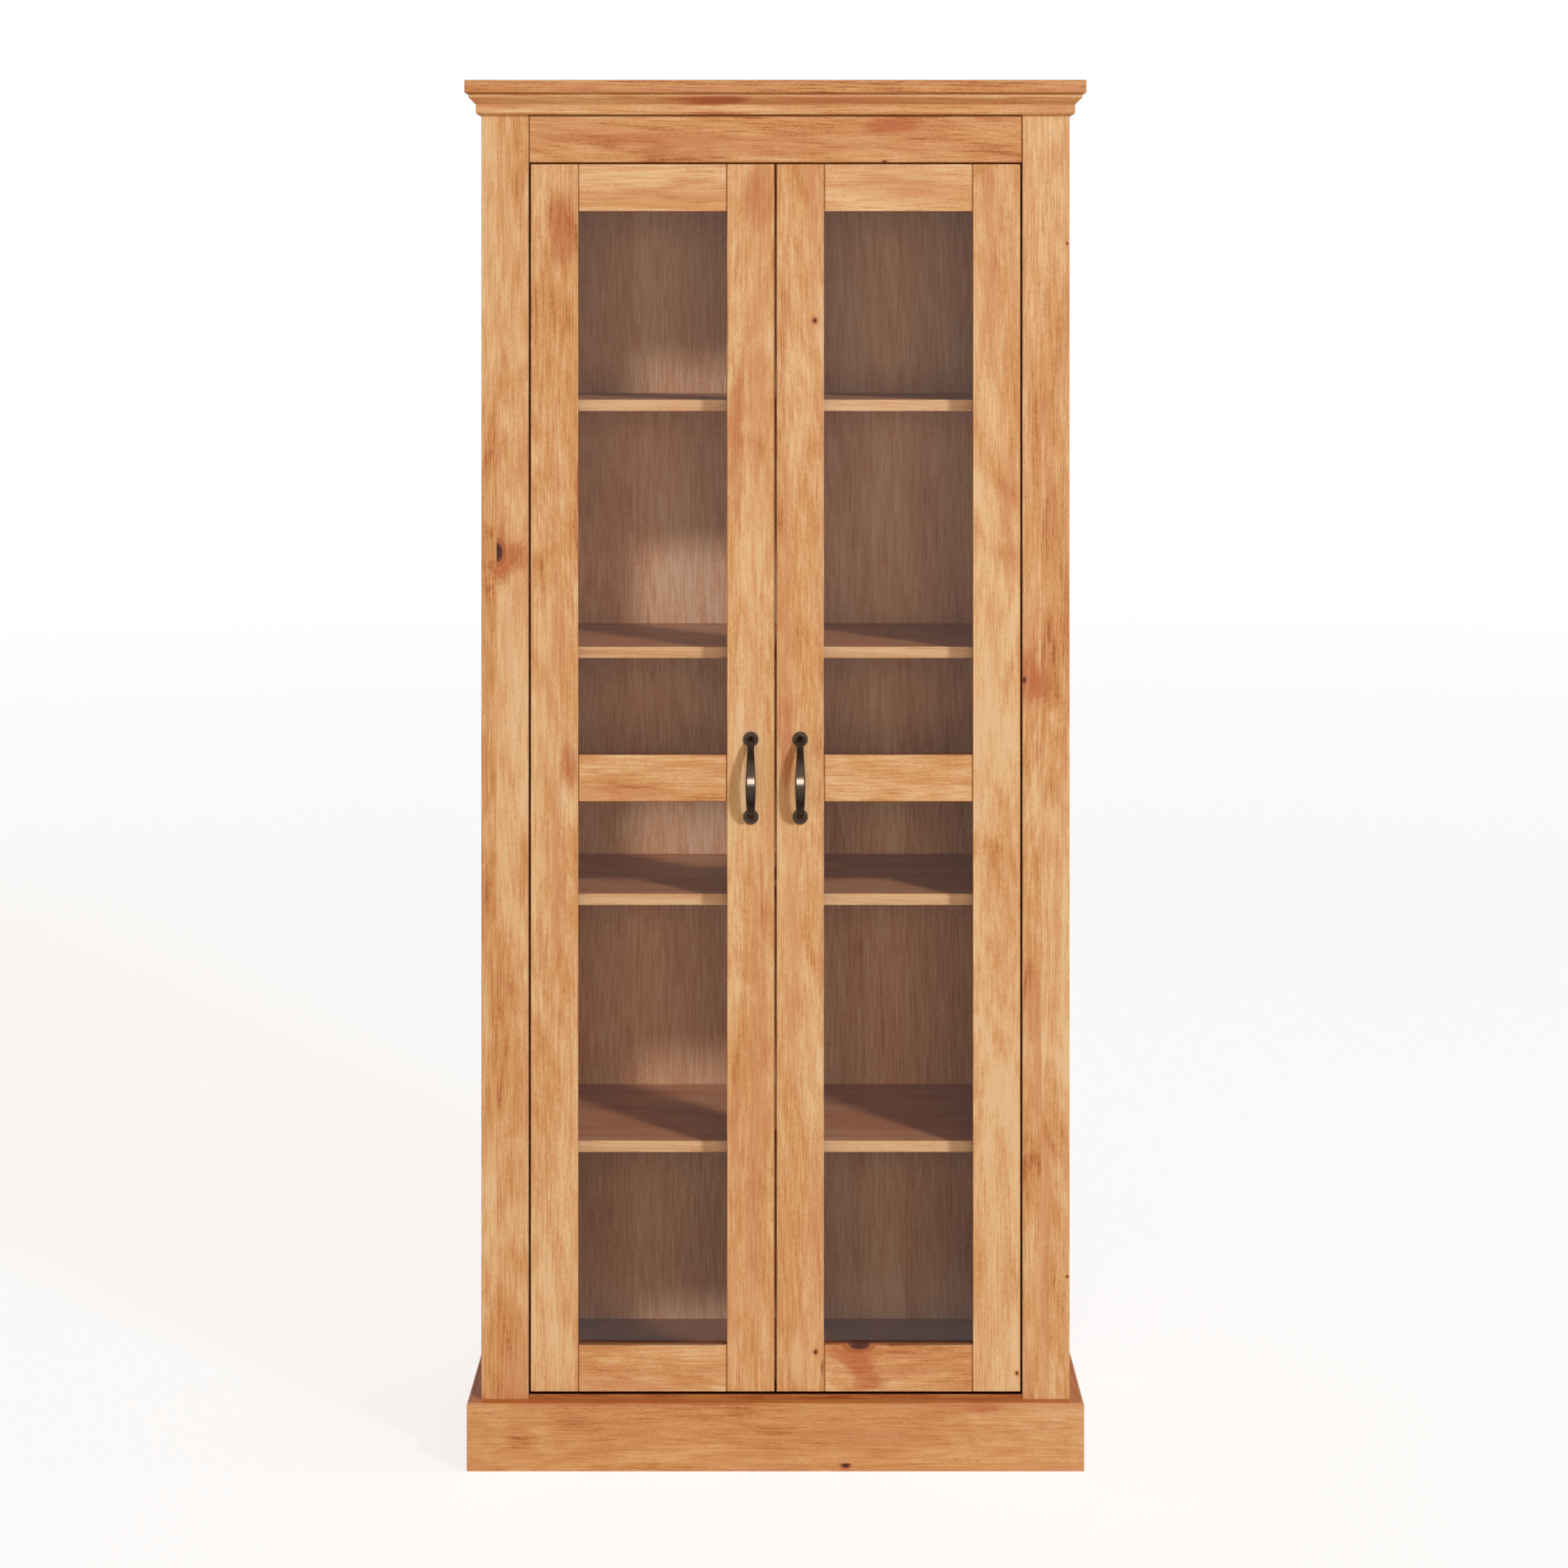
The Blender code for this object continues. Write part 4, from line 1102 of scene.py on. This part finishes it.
def make_bead(label, level, materials):
    low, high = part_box(f"door_{label}_glass_{level}")
    front = high.y + GAP
    profile = bead_profile(DOOR_BACK_Y - BEAD_SINK - front)
    corners = ((low.x, low.z, 1, 1), (high.x, low.z, -1, 1), (high.x, high.z, -1, -1), (low.x, high.z, 1, -1))
    shape = bmesh.new()
    rings = []
    for x, z, way_x, way_z in corners:
        ring = []
        for inward, back in profile:
            ring.append(shape.verts.new((x + way_x * inward, front + back, z + way_z * inward)))
        rings.append(ring)
    for number, ring in enumerate(rings):
        after = rings[(number + 1) % len(rings)]
        for first in range(len(profile)):
            second = (first + 1) % len(profile)
            face = shape.faces.new((ring[first], ring[second], after[second], after[first]))
            face.material_index = number % 2
    finish_piece(f"glazing_bead_{label}_{level}", shape, materials, f"door_{label}")


# Screws: pan heads with a cross recess
SCREW_HEAD_DIAMETER = 0.0070
SCREW_HEAD_HEIGHT = 0.0012
SCREW_DOME = 0.65
SCREW_DOME_STEPS = 5
SCREW_SIDES = 32
SCREW_FIRST_ANGLE = 0.3
SCREW_ANGLE_STEP = 0.7
RECESS_LENGTH = 0.0040
RECESS_WIDTH = 0.0009
RECESS_DEPTH = 0.0007


def pan_head():
    """A pan head that stands on z = 0, still without its recess."""
    radius = SCREW_HEAD_DIAMETER / 2
    profile = [(0, SCREW_HEAD_HEIGHT)]
    for step in range(1, SCREW_DOME_STEPS + 1):
        turn = math.pi / 2 * step / SCREW_DOME_STEPS
        height = SCREW_HEAD_HEIGHT * (1 - SCREW_DOME + SCREW_DOME * math.cos(turn))
        profile.append((radius * math.sin(turn), height))
    profile.extend([(radius, 0), (0, 0)])
    shape = bmesh.new()
    add_turned(shape, profile, Vector((0, 0, 0)), UPWARD, SCREW_SIDES)
    return add_object("screw head", mesh_from("screw head", shape))


def recess_bar(length, width):
    """One of the two bars that cut the cross recess."""
    shape = bmesh.new()
    size = Matrix.Diagonal((length, width, 2 * RECESS_DEPTH, 1))
    bmesh.ops.create_cube(shape, size=1, matrix=Matrix.Translation((0, 0, SCREW_HEAD_HEIGHT)) @ size)
    return add_object("recess", mesh_from("recess", shape))


def screw_head():
    """The mesh of a head with its recess, which all screws share."""
    head = pan_head()
    bars = [recess_bar(RECESS_LENGTH, RECESS_WIDTH), recess_bar(RECESS_WIDTH, RECESS_LENGTH)]
    for bar in bars:
        cut = head.modifiers.new("recess", "BOOLEAN")
        cut.operation = "DIFFERENCE"
        cut.solver = "EXACT"
        cut.object = bar
    shown = head.evaluated_get(bpy.context.evaluated_depsgraph_get())
    mesh = bpy.data.meshes.new_from_object(shown)
    for obj in (*bars, head):
        bpy.data.objects.remove(obj, do_unlink=True)
    return mesh


def make_screws(name, head, places, axis, body, material):
    """A group of like screws: their heads stand at the places and face along the axis."""
    shape = bmesh.new()
    turn = facing_turn(axis)
    for number, place in enumerate(places):
        copy = head.copy()
        angle = Matrix.Rotation(SCREW_ANGLE_STEP * number + SCREW_FIRST_ANGLE, 4, "Z")
        copy.transform(Matrix.Translation(place) @ turn @ angle)
        shape.from_mesh(copy)
        bpy.data.meshes.remove(copy)
    finish_piece(name, shape, [material], body)


# Screws of the hinges: their distances from a cup's or an arm's middle and back, and off the post
HINGE_LEVELS = ("top", "middle", "bottom")
CUP_SCREW_OFFSET = 0.0224
PLATE_SCREW_OFFSET = 0.0168
PLATE_SCREW_DEPTH = 0.0160
PLATE_THICKNESS = 0.003
ARM_SCREW_DEPTHS = (0.010, 0.024)
ARM_RISE = 0.0118


def above_and_below(x, y, z, offset):
    return [Vector((x, y, z + way * offset)) for way in (1, -1)]


def hinge_screw_places(label, side):
    """Where one door's hinge screws stand: on the cups' flanges, on the plates and on the arms."""
    on_cups, on_arms = [], []
    for level in HINGE_LEVELS:
        low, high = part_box(f"door_{label}_hinge_cup_{level}")
        middle = (low + high) / 2
        on_cups += above_and_below(middle.x, high.y + GAP, middle.z, CUP_SCREW_OFFSET)
        low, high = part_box(f"hinge_arm_{label}_{level}")
        height = (low.z + high.z) / 2
        post_x = high.x if side > 0 else low.x
        plate_x = post_x - side * (PLATE_THICKNESS + GAP)
        on_arms += above_and_below(plate_x, high.y - PLATE_SCREW_DEPTH, height, PLATE_SCREW_OFFSET)
        arm_x = post_x - side * (ARM_RISE + GAP)
        on_arms += [Vector((arm_x, high.y - depth, height)) for depth in ARM_SCREW_DEPTHS]
    return on_cups, on_arms


def make_all_screws(steel):
    """The screws of the hinge cups, the hinge arms and the handles."""
    head = screw_head()
    for label, side in SIDES.items():
        on_cups, on_arms = hinge_screw_places(label, side)
        low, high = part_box(f"door_{label}_handle")
        middle = (low + high) / 2
        on_handle = above_and_below(middle.x, DOOR_BACK_Y + GAP, middle.z, HANDLE_SPACING / 2)
        inward = Vector((-side, 0, 0))
        make_screws(f"cup_screws_{label}", head, on_cups, BACKWARD, f"door_{label}", steel)
        make_screws(f"arm_screws_{label}", head, on_arms, inward, "carcass", steel)
        make_screws(f"handle_screws_{label}", head, on_handle, BACKWARD, f"door_{label}", steel)
    bpy.data.meshes.remove(head)


# Hinge links: the pair of plates between an arm's nose and its cup
LINK_WIDTH = 0.0110
LINK_THICKNESS = 0.0014
LINK_PLACES = (0.0045, 0.0105)
LINK_START = 0.0030
LINK_INTO_CUP = 0.0075
LINK_ROWS = 30


def add_link_plate(shape, x, start, end, height):
    """Adds one plate of a link, in short rows."""
    rows = []
    for row in range(LINK_ROWS + 1):
        y = start + (end - start) * row / LINK_ROWS
        corners = []
        for way_x, way_z in ((-1, -1), (1, -1), (1, 1), (-1, 1)):
            corner = (x + way_x * LINK_THICKNESS / 2, y, height + way_z * LINK_WIDTH / 2)
            corners.append(shape.verts.new(corner))
        rows.append(corners)
    join_rings(shape, rows)


def make_link(label, side, level, steel):
    arm_low, arm_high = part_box(f"hinge_arm_{label}_{level}")
    cup_low, cup_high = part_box(f"door_{label}_hinge_cup_{level}")
    height = (cup_low.z + cup_high.z) / 2
    nose_x = arm_low.x if side > 0 else arm_high.x
    start = arm_low.y + LINK_START
    end = cup_high.y - LINK_INTO_CUP
    shape = bmesh.new()
    for inward in LINK_PLACES:
        add_link_plate(shape, nose_x + side * inward, start, end, height)
    piece = finish_piece(f"hinge_link_{label}_{level}", shape, [steel], None)
    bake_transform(piece)


def make_small_pieces(bronze, steel):
    """Makes every piece of the scene's own, and returns the handles."""
    beads = [make_pine(f"pine bead {way}", **look) for way, look in BEAD_LOOKS.items()]
    for label, side in SIDES.items():
        for level in ("upper", "lower"):
            make_bead(label, level, beads)
        for level in HINGE_LEVELS:
            make_link(label, side, level, steel)
    make_all_screws(steel)
    materials = [bronze, make_rubbed_bronze()]
    return [make_handle(label, materials) for label in SIDES]


bpy.context.scene.view_settings.view_transform = "Standard"
make_camera()
make_world()
dress_boards()
METALS = (make_bronze(), make_steel())
dress_the_rest(make_glass(), *METALS)
make_lights(make_floor(), make_small_pieces(*METALS))
